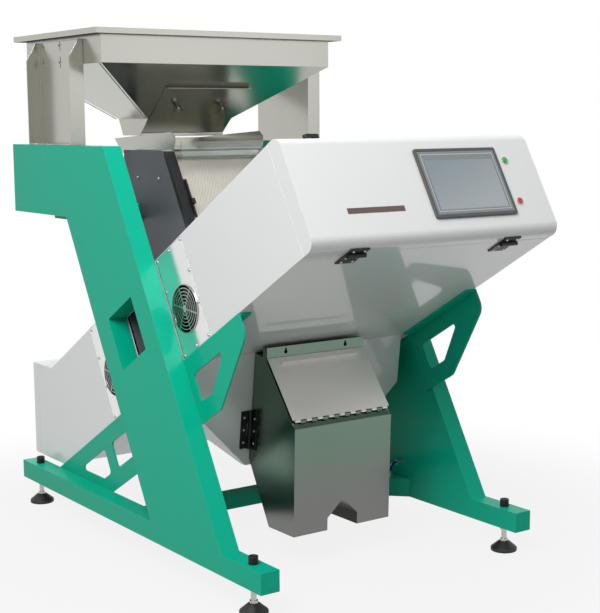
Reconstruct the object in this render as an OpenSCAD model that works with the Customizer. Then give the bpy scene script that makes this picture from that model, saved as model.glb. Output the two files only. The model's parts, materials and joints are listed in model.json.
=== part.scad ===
// Single-chute optical colour sorter for grain.
// X runs to the right, Y to the back and Z up. The origin is on the floor, under the middle of the machine.
// Everything optical shares one leaning frame: u points back across the grain stream, v points up along it.

/* [Side frames] */
// Overall width over the two side frames
frame_w = 975; // [900:5:1050]
// Width of the rails, columns and arms across the machine
tube = 60; // [50:1:70]
// Length of each floor rail
rail_l = 1500; // [1450:5:1600]
// Height of the rail's underside above the floor
rail_z = 78; // [70:1:86]
// Distance from the sorting centre back to the rail's rear end
rail_rear = 793; // [770:1:820]
// Lean of the columns and the chute from the vertical
lean = 30; // [28:0.5:32]
// Width of a column across its lean
column_w = 341; // [320:1:360]
// Plate thickness of the hollow side frames
frame_wall = 4; // [3:0.5:6]
// Height of the arm's top face above the floor
arm_top = 1232; // [1200:1:1260]
// Depth of the arm
arm_h = 224; // [210:1:240]
// Distance from the sorting centre back to the arm's end
arm_reach = 779; // [740:1:800]
// Side of the square window through each column
window_s = 168; // [120:1:200]
// Height of the sorting centre above the floor
sort_z = 682; // [670:1:700]
// Height of the beam between the rails
beam_h = 45; // [40:1:55]
// Depth of the beam and of its corner braces
beam_d = 60; // [50:1:70]
// Distance from the sorting centre forward to the beam's front face
beam_front = 28; // [10:1:40]
// Length of a brace's foot along the rail
brace_reach = 185; // [150:1:200]

/* [Feet] */
// Distance of a foot from the rail's end
foot_inset = 80; // [60:1:100]
// Diameter of a foot pad
pad_d = 80; // [60:1:100]
// Diameter of a foot stud
stud_d = 16; // [12:1:20]
// Diameter of the cap over a stud's top end
cap_d = 27; // [24:1:32]

/* [Brackets] */
// Plate thickness of the brackets
bracket_t = 6; // [4:0.5:8]
// Width of the brackets across the lean
bracket_w = 194; // [180:1:210]
// Width of the rim left round a bracket's cut-out
bracket_rim = 55; // [45:1:60]
// Reach of the front brackets in front of the sorting centre
bracket_front = 509; // [480:1:540]
// Inward reach of the flange that carries a box
bracket_flange = 42; // [30:1:60]

/* [Optical boxes] */
// Gap between a side frame and the boxes' side panels
side_gap = 3.5; // [3:0.5:8]
// Height of the boxes' top face above the sorting centre, along the lean
box_up = 156; // [150:1:165]
// Depth of the boxes' underside below the sorting centre, along the lean
box_down = 160; // [155:1:165]
// Distance from the sorting centre to where the fan panels meet a box
chamber_reach = 340; // [334:1:360]
// Distance from the sorting centre to the front box's mouth
front_reach = 856; // [800:1:900]
// Depth of the front door
door_t = 50; // [44:1:60]
// Radius of the front door's long edges
door_r = 30; // [15:1:34]
// Sheet thickness of the boxes and panels
sheet = 2; // [1.5:0.5:3]
// Distance from the sorting centre back to the rear box's mouth
rear_reach = 781; // [760:1:800]
// Depth of the rear door
rear_door_t = 41; // [30:1:50]
// Height of the rear box's ledge above the floor
rear_top = 474; // [450:1:490]
// Height of the rear box's underside above the floor
rear_bottom = 153; // [148:1:165]
// Gap between a door and its box
door_gap = 1.5; // [1:0.5:3]

/* [Door fittings] */
// Width of the operator panel
hmi_w = 293; // [250:1:300]
// Height of the operator panel
hmi_h = 206; // [180:1:220]
// Distance of the operator panel's middle from the door's right edge
hmi_from_edge = 285; // [282:1:294]
// Width of the dark border of the operator panel
hmi_border = 9; // [6:0.5:14]
// Distance of the push-buttons from the door's right edge
button_in = 110; // [84:1:114]
// Spacing of the two push-buttons
button_pitch = 127; // [80:1:160]
// Diameter of a push-button's cap
button_d = 15; // [12:0.5:16]
// Travel of a push-button
button_travel = 3; // [2:0.5:4]
// Length of the status strip
strip_l = 187; // [120:1:220]
// Height of the status strip
strip_h = 16; // [10:1:24]
// Distance of the front hinges from the door's side edges
hinge_in = 159; // [124:1:204]
// Length of a door hinge along its pin
hinge_l = 60; // [50:1:70]
// Reach of a hinge leaf from its pin
leaf_l = 26; // [20:1:28]
// Reach of a front hinge's leaf under the box
leaf_back = 56; // [26:1:70]
// Diameter of a hinge pin
pin_d = 6; // [5:0.5:7]

/* [Fans] */
// Size of the square fan housings
fan_s = 150; // [130:1:156]
// Diameter of the fan guards
guard_d = 141; // [125:1:146]
// Distance of the fans below the sorting centre, along the lean
fan_drop = 36; // [20:1:60]
// Number of rings in a fan guard
guard_rings = 6; // [4:1:7]
// Number of blades on a fan rotor
blades = 7; // [5:1:9]

/* [Chute] */
// Width of the chute plate
chute_w = 320; // [280:1:324]
// Distance of the chute plate in front of the sorting centre
chute_front = 17; // [12:1:24]
// Depth of the chute's upper end below the arms' top faces
chute_drop = 44; // [40:1:60]
// Height of the chute's lower end above the sorting centre, along the lean
chute_end = 70; // [60:1:90]
// Distance of a cheek's inner face from the machine's middle plane
cheek_x = 190; // [182:1:200]
// Depth of the cheeks' top edges below the arms' top faces
cheek_drop = 21; // [18:1:40]
// Thickness of the cheeks
cheek_t = 3; // [2:0.5:5]

/* [Feeder] */
// Inside width of the feeder tray
tray_w = 334; // [328:1:340]
// Height of the tray's sides
tray_h = 52; // [40:1:56]
// Sheet thickness of the tray
tray_t = 2; // [1.5:0.5:3]
// Rise of the tray's floor towards the chute
tray_rise = 2.8; // [0:0.2:4]
// Depth of the tray's rear end below the arms' top faces
tray_drop = 36; // [34:1:40]
// Lean of the feeder's leaf springs from the vertical
spring_lean = 20; // [12:1:24]
// Height of the feeder's leaf springs
spring_h = 94; // [80:1:98]
// Depth of the feeder deck's top face below the arms' top faces
deck_drop = 196; // [190:1:206]

/* [Hopper] */
// Distance of the hopper's upright skirt outside the side frames' inner faces
skirt_over = 1.3; // [0.5:0.1:6]
// Length of the skirt from front to back
skirt_l = 541; // [520:1:560]
// Distance from the columns' middle lines, at the arms' top faces, forward to the skirt
skirt_front = 88; // [70:1:100]
// Overhang of the rim round the skirt
rim_over = 32; // [20:1:40]
// Depth of the rim's turned-down edge
rim_h = 18; // [12:1:25]
// Height of the rim's top above the arms' top faces
rim_z = 355; // [340:1:380]
// Height of the skirt's lower edge above the arms' top faces
skirt_z = 251; // [240:1:262]
// Height of the spout's upper end above the arms' top faces
spout_z = 81; // [74:1:90]
// Height of the spout's mouth above the arms' top faces
mouth_z = 26; // [24:1:32]
// Half width of the spout
spout_x = 162; // [150:1:162]
// Slope of the hopper's front wall below the horizontal
front_slope = 40.4; // [38:0.2:43]
// Sheet thickness of the hopper
hopper_t = 2; // [1.5:0.5:3]
// Length of the gate plate along the wall
gate_l = 222; // [200:1:230]
// Length of the gate's slots
gate_slot = 64; // [62:1:80]
// Distance of the gate's slots from the machine's middle plane
gate_slot_x = 85; // [60:1:120]
// Width of a hopper leg
leg_w = 316; // [290:1:340]
// Depth of a hopper leg's flanges
leg_d = 50; // [35:1:54]

/* [Funnel and outlet] */
// Distance of the funnel inside the side frames' inner faces
funnel_in = 43.5; // [40:0.5:60]
// Height of the funnel's square corners above the floor
funnel_corner = 467; // [455:1:480]
// Half width of the outlet
outlet_x = 177; // [165:1:185]
// Height of the outlet's mouths above the floor
outlet_z = 103; // [95:1:115]
// Height of the lid's hinge above the floor
lid_z = 446; // [436:1:456]
// Half width of the notch between the two mouths
notch_x = 55; // [40:1:70]
// Height of the notch's apex above the mouths
notch_h = 88; // [70:1:100]
// Sheet thickness of the outlet
outlet_t = 2; // [1.5:0.5:3]
// Length of the outlet's hinge
outlet_hinge_l = 118; // [90:1:130]
// Diameter of the air hose
hose_d = 10; // [8:0.5:12]

/* [Hidden] */
$fn = 48;
// Clearance between faces that meet without touching
seat = 0.3;
// Radial clearance of a pin or stud in its hole
run = 0.05;
// Overshoot of a cut past the face it opens
cut = 5;

c = cos(lean);
s = sin(lean);
tn = tan(lean);

inner_x = frame_w / 2 - tube;
outer_x = frame_w / 2;
box_x = inner_x - side_gap;
skirt_x = inner_x + skirt_over;
funnel_x = inner_x - funnel_in;
rail_top = rail_z + tube;
half_col = column_w / 2;

// Reach of the machine in front of and behind the sorting centre
door_front = front_reach + door_t;
nose_u = door_r - door_front;
nose_v = door_r - box_down;
reach_front = door_r - nose_u * c - nose_v * s;
reach_back = rear_reach + rear_door_t;
sort_y = (reach_front - reach_back) / 2;

// Position, from the sorting centre and the floor, of a point of the leaning frame
function lean_y(u, v) = u * c + v * s;
function lean_z(u, v) = sort_z - u * s + v * c;
function lean_pt(u, v) = [lean_y(u, v), lean_z(u, v)];
// Place across the lean where a line along it meets a given height
function u_at(v, z) = (sort_z - z + v * c) / s;
// Distance behind the sorting centre of a line that leans with the columns
function col_y(z, off) = (z - sort_z) * tn + off / c;

// Outlines with rounded corners
function unit(p) = p / norm(p);
function wrap(a) = a > 180 ? a - 360 : (a < -180 ? a + 360 : a);
function corner_arc(p, a, b, r, n) =
    let (d1 = unit(a - p), d2 = unit(b - p))
    let (half = acos(d1 * d2) / 2)
    let (o = p + unit(d1 + d2) * r / sin(half))
    let (m = p + d1 * r / tan(half) - o, e = p + d2 * r / tan(half) - o)
    let (a0 = atan2(m.y, m.x), sweep = wrap(atan2(e.y, e.x) - a0))
    [for (i = [0:n]) o + r * [cos(a0 + sweep * i / n), sin(a0 + sweep * i / n)]];
function rounded(pts, radii, n = 6) =
    let (k = len(pts))
    [for (i = [0:k - 1])
        let (before = pts[(i + k - 1) % k], after = pts[(i + 1) % k])
        each radii[i] > 0 ? corner_arc(pts[i], before, after, radii[i], n) : [pts[i]]];
function rect(x0, y0, x1, y1) = [[x0, y0], [x1, y0], [x1, y1], [x0, y1]];

module both_sides() {
    children();
    mirror([1, 0, 0]) children();
}
module both_ends() {
    children();
    mirror([0, 1, 0]) children();
}
module at_sort() translate([0, sort_y, 0]) children();
module leaning() translate([0, sort_y, sort_z]) rotate([-lean, 0, 0]) children();
// Frame of the feeding parts: level with the arms' top faces, at the columns' middle lines
feed_y = col_y(arm_top, 0);
module at_feed() translate([0, sort_y + feed_y, arm_top]) children();
// Plate with its outline in Y and Z, from x0 to x0 + t
module yz_plate(x0, t) translate([x0, 0, 0]) rotate([90, 0, 90]) linear_extrude(t) children();
// Plate with its outline in X and Z, from y0 to y0 + t
module xz_plate(y0, t) translate([0, y0 + t, 0]) rotate([90, 0, 0]) linear_extrude(t) children();
// Block given by its lowest and highest corners
module block(lo, hi) translate(lo) cube(hi - lo);
module rod_x(d, l) rotate([0, 90, 0]) cylinder(d = d, h = l);
module rod_y(d, l) rotate([-90, 0, 0]) cylinder(d = d, h = l);

// Side frames: a hollow rail, leaning column and arm, with a lined window through the column

frame_green = "mediumseagreen";
rail_y0 = rail_rear - rail_l;
foot_ys = [rail_y0 + foot_inset, rail_rear - foot_inset];
foot_x = inner_x + tube / 2;
function column_outline(t) = [
    [col_y(rail_top - t, t - half_col), rail_top - t],
    [col_y(arm_top - t, t - half_col), arm_top - t],
    [arm_reach - t, arm_top - t],
    [arm_reach - t, arm_top - arm_h + t],
    [col_y(arm_top - arm_h + t, half_col - t), arm_top - arm_h + t],
    [col_y(rail_top - t, half_col - t), rail_top - t]
];
module frame_shell() difference() {
    walls = frame_wall * [1, 1, 1];
    union() {
        block([inner_x, rail_y0, rail_z], [outer_x, rail_rear, rail_top]);
        yz_plate(inner_x, tube) polygon(column_outline(0));
    }
    block([inner_x, rail_y0, rail_z] + walls, [outer_x, rail_rear, rail_top] - walls);
    yz_plate(inner_x + frame_wall, tube - 2 * frame_wall) polygon(column_outline(frame_wall));
}
module side_frame() difference() {
    half = window_s / 2;
    lining = half + frame_wall;
    union() {
        at_sort() frame_shell();
        leaning() block([inner_x, -lining, -lining], [outer_x, lining, lining]);
    }
    leaning() block([inner_x - cut, -half, -half], [outer_x + cut, half, half]);
    for (y = foot_ys)
        at_sort() translate([foot_x, y, rail_z - cut]) cylinder(d = stud_d + 2 * run, h = tube + 2 * cut);
}
module left_frame() color(frame_green) mirror([1, 0, 0]) side_frame();
module right_frame() color(frame_green) side_frame();

// Beam between the rails, with a diagonal brace to each rail
module cross_beam() color(frame_green) at_sort() {
    back = beam_d - beam_front;
    slant = beam_d * sqrt(2);
    wall = frame_wall * sqrt(2);
    foot = -beam_front - brace_reach;
    toe = inner_x - brace_reach;
    difference() {
        union() {
            block([-inner_x, -beam_front, rail_top - beam_h], [inner_x, back, rail_top]);
            both_sides() translate([0, 0, rail_z]) linear_extrude(tube) polygon([
                [inner_x, foot], [toe, -beam_front], [toe + slant, -beam_front], [inner_x, foot + slant]
            ]);
        }
        block([-inner_x - cut, -beam_front + frame_wall, rail_top - beam_h + frame_wall],
            [inner_x + cut, back - frame_wall, rail_top - frame_wall]);
        both_sides() translate([0, 0, rail_z + frame_wall]) linear_extrude(tube - 2 * frame_wall) polygon([
            [inner_x + cut, foot + wall - cut], [toe + wall - cut, -beam_front + cut],
            [toe + slant - wall - cut, -beam_front + cut], [inner_x + cut, foot + slant - wall - cut]
        ]);
    }
}

// Brackets that carry the boxes, cut from plate with a bent flange along the top

bracket_v = -box_down - seat;
bracket_low = bracket_v - bracket_w;
bracket_lap = 30;
bracket_x = inner_x - seat - bracket_t;
flange_hole_d = 9;
nose_r = 42;
knee_r = 30;
hole_r = 14;
module carrying_flange(u0, u1, holes) difference() {
    block([inner_x - bracket_flange, u0, bracket_v - bracket_t], [inner_x - seat, u1, bracket_v]);
    for (u = holes)
        translate([inner_x - bracket_flange / 2, u, bracket_v - bracket_t - cut])
            cylinder(d = flange_hole_d, h = bracket_t + 2 * cut);
}

module front_brackets() color(frame_green) both_sides() leaning() {
    tip = -bracket_front;
    top = bracket_v;
    low = bracket_low;
    rim = bracket_rim;
    root = bracket_lap - half_col;
    knee = -half_col - 0.6 * bracket_w;
    inner = -half_col - rim / 2;
    yz_plate(bracket_x, bracket_t) difference() {
        polygon(rounded([
            [root, top], [tip, top], [tip, top - 1.2 * rim], [knee, low], [root, low]
        ], [0, bracket_t, nose_r, knee_r, 0]));
        polygon(rounded([
            [inner, top - rim], [tip + 2.2 * rim, top - rim],
            [knee + rim / 4, low + rim], [inner, low + rim]
        ], hole_r * [1, 0.6, 1.3, 1]));
    }
    carrying_flange(tip, -half_col, [tip + 0.8 * rim, -half_col - 1.4 * rim]);
}

rear_lap = 20;
module rear_brackets() color(frame_green) both_sides() leaning() {
    top = bracket_v;
    low = bracket_low;
    rim = bracket_rim;
    root = half_col - bracket_lap;
    web = half_col + 1.32 * bracket_w;
    foot = rail_top - rear_lap;
    shelf = rail_top + rim / 2;
    yz_plate(bracket_x, bracket_t) difference() {
        polygon([[root, top], [u_at(top, foot), top], [u_at(low, foot), low], [root, low]]);
        polygon(rounded(
            rect(half_col + rim / 2, low + rim, web - rim / 2, top - rim), hole_r * [1, 1, 1, 1]));
        polygon(rounded([
            [web + rim / 2, top - rim], [u_at(top - rim, shelf), top - rim],
            [u_at(low + rim, shelf), low + rim], [web + rim / 2, low + rim]
        ], hole_r * [1, 0.7, 1, 1]));
    }
    carrying_flange(half_col, u_at(top, rear_bottom) - rim / 2, [half_col + rim, web + rim]);
}

// Levelling feet

pad_rim_h = 10;
pad_h = 30;
stud_hex_h = 8;
nut_h = 12;
stud_over = 8;
cap_h = 20;
module each_foot() both_sides() at_sort() for (y = foot_ys) translate([foot_x, y, 0]) children();
module foot_pads() color("dimgray") each_foot() rotate_extrude() polygon(rounded([
    [0, 0], [pad_d / 2, 0], [pad_d / 2, pad_rim_h], [stud_d, pad_h], [0, pad_h]
], [0, 2, 4, 3, 0]));
module foot_studs() color("silver") each_foot() {
    translate([0, 0, pad_h]) cylinder(d = stud_d, h = rail_top + stud_over - pad_h);
    translate([0, 0, pad_h]) cylinder(d = 1.6 * stud_d, h = stud_hex_h, $fn = 6);
    translate([0, 0, rail_z - nut_h - seat]) cylinder(d = 1.75 * stud_d, h = nut_h, $fn = 6);
}
module foot_caps() color("dimgray") each_foot() difference() {
    translate([0, 0, rail_top]) cylinder(d = cap_d, h = cap_h);
    translate([0, 0, rail_top - cut]) cylinder(d = stud_d + 2 * run, h = stud_over + seat + cut);
}

// Front and rear boxes, the chamber between them and its fan panels

white = "whitesmoke";
window_over = 20;
window_w = chute_w + window_over;
window_v0 = -45;
window_v1 = 65;
box_v0 = -box_down;
module optic_opening(u) block([-window_w / 2, u - cut, window_v0], [window_w / 2, u + cut, window_v1]);

module front_box() color(white) leaning() difference() {
    block([-box_x, -front_reach, box_v0], [box_x, -chamber_reach, box_up]);
    block([sheet - box_x, -front_reach - cut, box_v0 + sheet],
        [box_x - sheet, -chamber_reach - sheet, box_up - sheet]);
    optic_opening(-chamber_reach);
}

function rear_outline(t, over) =
    let (u0 = chamber_reach + t, top = box_up - t, low = box_v0 + t)
    [
        lean_pt(u0, top), lean_pt(u_at(top, rear_top - t), top),
        [rear_reach + over, rear_top - t], [rear_reach + over, rear_bottom + t],
        lean_pt(u_at(low, rear_bottom + t), low), lean_pt(u0, low)
    ];
module rear_box() color(white) difference() {
    at_sort() yz_plate(-box_x, 2 * box_x) polygon(rear_outline(0, 0));
    at_sort() yz_plate(sheet - box_x, 2 * (box_x - sheet)) polygon(rear_outline(sheet, cut));
    leaning() optic_opening(chamber_reach);
}

stream_gap = 45;
chamber_end = chamber_reach - seat;
slot_gap = 4;
slot_x = chute_w / 2 + slot_gap;
funnel_front = 160;
funnel_back = 150;
funnel_lip = 10;
module chamber() color(white) leaning() difference() {
    half = window_s / 2;
    block([-box_x, -chamber_end, box_v0], [box_x, chamber_end, box_up]);
    block([sheet - box_x, -chamber_reach, box_v0 + sheet], [box_x - sheet, chamber_reach, box_up - sheet]);
    block([-slot_x, -chute_front - stream_gap, 0], [slot_x, 0, box_up + cut]);
    block([funnel_lip - funnel_x, funnel_lip - funnel_front, box_v0 - cut],
        [funnel_x - funnel_lip, funnel_back - funnel_lip, 0]);
    both_ends() block([-box_x - cut, half_col + seat, box_v0 + sheet],
        [box_x + cut, chamber_reach, box_up - sheet]);
    block([-box_x - cut, -half, -half], [box_x + cut, half, half]);
}

// Walls beside the stream, with a glass window for each camera
wall_front = 105;
wall_back = 75;
wall_x = box_x - sheet - seat;
module partitions() color("lightgray") leaning() for (u = [-wall_front, wall_back - sheet]) difference() {
    block([-wall_x, u, box_v0 + sheet + seat], [wall_x, u + sheet, box_up - sheet - seat]);
    optic_opening(u);
}
glass_t = 4;
glass_lap = 12;
glass_x = window_w / 2 + glass_lap;
glass_us = [sheet - wall_front, wall_back - sheet - glass_t];
module glass_panes() color("lightcyan", 0.5) leaning() for (u = glass_us)
    block([-glass_x, u, window_v0 - glass_lap], [glass_x, u + glass_t, window_v1 + glass_lap]);

fan_u = (half_col + chamber_reach) / 2;
fan_rim = 6;
fan_d = fan_s - 2 * fan_rim;
// Puts a child, drawn looking out along +X, at one fan or at all four
module at_fan(side, end) leaning() translate([side * box_x, end * fan_u, -fan_drop])
    rotate([0, 0, side > 0 ? 0 : 180]) children();
module all_fans() for (side = [-1, 1], end = [-1, 1]) at_fan(side, end) children();

module fan_panels() color(white) both_sides() leaning() both_ends() difference() {
    block([box_x - sheet, half_col + 2 * seat, box_v0 + sheet + seat],
        [box_x, chamber_end - seat, box_up - sheet - seat]);
    translate([box_x - sheet - cut, fan_u, -fan_drop]) rod_x(fan_d, sheet + 2 * cut);
}

guard_wire = 2.5;
guard_hub = 20;
guard_spokes = [0, 55, 125];
module fan_guards() color("silver") all_fans() translate([seat, 0, 0]) rotate([0, 90, 0]) {
    step = (guard_d - guard_hub) / guard_rings;
    spoke = (guard_d - guard_wire) / 2;
    cylinder(d = guard_hub, h = guard_wire);
    for (i = [1:guard_rings]) difference() {
        ring_d = guard_hub + step * i;
        cylinder(d = ring_d, h = guard_wire);
        translate([0, 0, -cut]) cylinder(d = ring_d - 2 * guard_wire, h = guard_wire + 2 * cut);
    }
    for (a = guard_spokes) rotate(a)
        block([-spoke, -guard_wire / 2, 0], [spoke, guard_wire / 2, guard_wire]);
}

fan_depth = 38;
fan_back = 3;
hub_d = 52;
hub_gap = 5;
hub_h = fan_depth - 2 * hub_gap;
strut_w = 8;
spindle_d = 8;
fan_x0 = -sheet - seat - fan_depth;
module fan_housings() color("dimgray") all_fans() translate([fan_x0, 0, 0]) {
    difference() {
        block([0, -fan_s / 2, -fan_s / 2], [fan_depth, fan_s / 2, fan_s / 2]);
        translate([fan_back, 0, 0]) rod_x(fan_d, fan_depth);
        difference() {
            translate([-cut, 0, 0]) rod_x(fan_d, 2 * cut);
            translate([-2 * cut, 0, 0]) rod_x(hub_d, 4 * cut);
            for (a = [0, 60, 120]) rotate([a, 0, 0])
                block([-2 * cut, -fan_d, -strut_w / 2], [2 * cut, fan_d, strut_w / 2]);
        }
    }
    rod_x(spindle_d, fan_depth - hub_gap - fan_back);
}

blade_pitch = 40;
blade_chord = 24;
blade_t = 2;
blade_gap = 4;
blade_tip = fan_d / 2 - blade_gap;
module rotor_form() difference() {
    union() {
        rod_x(hub_d, hub_h);
        for (i = [0:blades - 1]) rotate([i * 360 / blades, 0, 0])
            translate([hub_h / 2, 0, 0]) rotate([0, 0, blade_pitch])
                block([-blade_t / 2, -blade_chord / 2, hub_d / 4], [blade_t / 2, blade_chord / 2, blade_tip]);
    }
    translate([-cut, 0, 0]) rod_x(spindle_d + 2 * run, hub_h + 2 * cut);
}
module fan_rotor(side, end) color("black") at_fan(side, end) translate([fan_x0 + hub_gap, 0, 0]) rotor_form();
module rotor_front_left() fan_rotor(-1, -1);
module rotor_front_right() fan_rotor(1, -1);
module rotor_rear_left() fan_rotor(-1, 1);
module rotor_rear_right() fan_rotor(1, 1);

// Screws along the edges of the fan panels
screw_d = 9;
screw_h = 2.5;
screw_inset = 8;
screw_row = 49;
module panel_screws() color("silver") both_sides() leaning() both_ends() {
    low = box_v0 + sheet + screw_inset;
    high = box_up - sheet - screw_inset;
    for (u = [half_col + screw_inset, chamber_reach - screw_inset], v = [low, -screw_row, screw_row, high])
        translate([box_x, u, v]) rod_x(screw_d, screw_h);
    for (v = [low, high]) translate([box_x, fan_u, v]) rod_x(screw_d, screw_h);
}

// Cameras, lamps and ejector

camera_front = 640;
camera_back = 600;
camera_w = 90;
camera_h = 76;
camera_l = 110;
lens_d = 52;
lens_l = 58;
mount_l = 22;
mount_d = lens_d + 12;
plate_t = 6;
plate_over = 20;
post_w = 60;
// Camera looking along +Y on a plate and a post from the box's floor
module camera() {
    foot = -camera_h / 2 - plate_t;
    block([-camera_w / 2, -camera_l, -camera_h / 2], [camera_w / 2, 0, camera_h / 2]);
    rod_y(mount_d, mount_l);
    rod_y(lens_d, lens_l);
    block([-camera_w / 2 - plate_over, -camera_l, foot], [camera_w / 2 + plate_over, 0, -camera_h / 2]);
    block([-post_w / 2, -camera_l + plate_over, box_v0 + sheet], [post_w / 2, -plate_over, foot]);
}
module cameras() color("dimgray") leaning() {
    translate([0, -camera_front, 0]) camera();
    translate([0, camera_back, 0]) mirror([0, 1, 0]) camera();
}

lamp_d = 26;
lamp_over = 120;
lamp_l = chute_w + lamp_over;
lamp_off = 30;
holder_t = 6;
holder_h = 32;
// Tube lamp on two holders that stand on a wall at u = 0, on its back
module lamp() {
    translate([-lamp_l / 2, lamp_off, 0]) rod_x(lamp_d, lamp_l);
    both_sides() block([lamp_l / 2, 0, -holder_h / 2],
        [lamp_l / 2 + holder_t, lamp_off + holder_h / 2, holder_h / 2]);
}
module lamp_bars() color("ivory") leaning() for (v = [window_v0 - lamp_off, window_v1 + lamp_off]) {
    translate([0, wall_back, v]) lamp();
    translate([0, -wall_front, v]) mirror([0, 1, 0]) lamp();
}

nozzle_d = 5;
nozzle_l = 6;
nozzle_pitch = 16;
ejector_h = 36;
ejector_gap = 8;
ejector_v = window_v0 - glass_lap - ejector_gap;
ejector_face = 12;
module ejector() color("lightslategray") leaning() {
    half = chute_w / 2;
    block([-half, ejector_face, ejector_v - ejector_h], [half, wall_back - sheet, ejector_v]);
    for (x = [nozzle_pitch / 2 - half : nozzle_pitch : half - nozzle_pitch / 2])
        translate([x, ejector_face - nozzle_l, ejector_v - ejector_h / 2]) rod_y(nozzle_d, nozzle_l);
}

// Funnel under the chamber: two crossing profiles give its slanted corners

funnel_tilt = 7.1;
funnel_low = 272;
funnel_floor = 24;
funnel_top = lean_pt(-funnel_front, box_v0 - seat);
funnel_rear = lean_pt(funnel_back, box_v0 - seat);
funnel_neck = funnel_corner - funnel_x + outlet_x;
function funnel_y(z) = funnel_top.x + (funnel_top.y - z) * tan(funnel_tilt);
function funnel_side(t, up) = concat(
    up > 0 ? [funnel_top + [t, up]] : [],
    [
        [funnel_top.x + t, funnel_top.y], [funnel_y(funnel_low + t) + t, funnel_low + t],
        [funnel_y(funnel_low) + funnel_floor - t, funnel_low + t], [funnel_rear.x - 1.4 * t, funnel_rear.y]
    ],
    up > 0 ? [funnel_rear + [-1.4 * t, up]] : []
);
module funnel_body(t, up) intersection() {
    yz_plate(t - funnel_x, 2 * (funnel_x - t)) polygon(funnel_side(t, up));
    xz_plate(-2 * funnel_x, 4 * funnel_x) polygon([
        [t - funnel_x, 2 * sort_z], [t - funnel_x, funnel_corner + 0.4 * t],
        [t - outlet_x, funnel_neck + 0.4 * t], [t - outlet_x, 0],
        [outlet_x - t, 0], [outlet_x - t, funnel_neck + 0.4 * t],
        [funnel_x - t, funnel_corner + 0.4 * t], [funnel_x - t, 2 * sort_z]
    ]);
}
throat_z0 = 300;
throat_z1 = 585;
throat_rim = 15;
throat_x = outlet_x - throat_rim;
module funnel() color(white) at_sort() difference() {
    funnel_body(0, 0);
    funnel_body(sheet, cut);
    block([-throat_x, -2 * funnel_x, throat_z0], [throat_x, funnel_y(throat_z0) + cut, throat_z1]);
}

// Hopper, its legs and its gate

steel = "lightgray";
skirt_y0 = -skirt_front;
skirt_y1 = skirt_y0 + skirt_l;
spout_y0 = skirt_y0 + (skirt_z - spout_z) / tan(front_slope);
spout_y1 = 316;
mouth_y0 = skirt_y0 + (skirt_z - mouth_z) / tan(front_slope);
mouth_y1 = 300;
mouth_in = 6;
// Solid between two level rectangles, each given as half width, front and back
module frustum(z0, r0, z1, r1) polyhedron(
    points = [
        [-r0[0], r0[1], z0], [r0[0], r0[1], z0], [r0[0], r0[2], z0], [-r0[0], r0[2], z0],
        [-r1[0], r1[1], z1], [r1[0], r1[1], z1], [r1[0], r1[2], z1], [-r1[0], r1[2], z1]
    ],
    faces = [[0, 1, 2, 3], [7, 6, 5, 4], [4, 5, 1, 0], [5, 6, 2, 1], [6, 7, 3, 2], [7, 4, 0, 3]]
);
module hopper_form(t, over) {
    slant = t / sin(front_slope);
    skirt_r = [skirt_x - t, skirt_y0 + t, skirt_y1 - t];
    spout_r = [spout_x - t, spout_y0 + slant, spout_y1 - t];
    mouth_r = [spout_x - mouth_in - t, mouth_y0 + slant, mouth_y1 - t];
    block([-skirt_r[0], skirt_r[1], skirt_z], [skirt_r[0], skirt_r[2], rim_z - hopper_t + over]);
    frustum(spout_z, spout_r, skirt_z, skirt_r);
    frustum(mouth_z, mouth_r, spout_z, spout_r);
    if (over > 0) block([-mouth_r[0], mouth_r[1], mouth_z - over], [mouth_r[0], mouth_r[2], mouth_z]);
}
module rim_form(t, z0, z1) {
    over = rim_over - t;
    block([-skirt_x - over, skirt_y0 - over, z0], [skirt_x + over, skirt_y1 + over, z1]);
}
wall_l = (skirt_z - mouth_z) / sin(front_slope);
gate_open = 60;
gate_side = 20;
// Frame on the hopper's front wall: y runs down the wall, z points into the hopper
module on_front_wall() at_feed() translate([0, skirt_y0, skirt_z]) rotate([-front_slope, 0, 0]) children();
module hopper() color(steel) difference() {
    at_feed() union() {
        hopper_form(0, 0);
        difference() {
            rim_form(0, rim_z - rim_h, rim_z);
            rim_form(hopper_t, rim_z - rim_h - cut, rim_z - hopper_t);
        }
    }
    at_feed() hopper_form(hopper_t, cut);
    on_front_wall() block([gate_side - spout_x, wall_l - gate_open, -cut],
        [spout_x - gate_side, wall_l + cut, 2 * cut]);
}

leg_x0 = skirt_x + seat;
leg_t = 3;
leg_shift = 8;
leg_clear = 9;
leg_mid = skirt_y0 + skirt_l / 2 + leg_shift;
leg_top = rim_z - rim_h - leg_clear;
leg_cut = [0.3 * leg_d, 58];
slot_pitch = [127, 54];
slot_size = [26, 36];
slot_t = 5;
slot_drop = 40;
slot_z = leg_top - slot_drop;
module hopper_legs() color(steel) both_sides() at_feed() difference() {
    y0 = leg_mid - leg_w / 2;
    y1 = leg_mid + leg_w / 2;
    union() {
        block([leg_x0, y0, 0], [leg_x0 + leg_t, y1, leg_top]);
        block([leg_x0, y0, 0], [leg_x0 + leg_d, y1, leg_t]);
        for (y = [y0, y1 - leg_t]) xz_plate(y, leg_t) polygon([
            [leg_x0, 0], [leg_x0 + leg_d, 0], [leg_x0 + leg_d, leg_top - leg_cut.y],
            [leg_x0 + leg_cut.x, leg_top], [leg_x0, leg_top]
        ]);
    }
    for (i = [-1:1], j = [-0.5, 0.5])
        translate([leg_x0 + leg_t / 2, leg_mid + i * slot_pitch.x, slot_z + j * slot_pitch.y]) {
            cube([2 * cut, slot_t, slot_size.y], center = true);
            cube([2 * cut, slot_size.x, slot_t], center = true);
        }
}

gate_t = 2;
gate_in = 2;
gate_x = spout_x - gate_in;
gate_hang = 14;
gate_y0 = wall_l - gate_hang - gate_l;
gate_stud_d = 8;
gate_stud_l = 26;
gate_stud_in = 78;
gate_stud_y = gate_y0 + gate_stud_in;
gate_slot_w = gate_stud_d + 2;
gate_slot_r = 0.45 * gate_slot_w;
gate_grip = 20;
gate_lip = 12;
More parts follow.
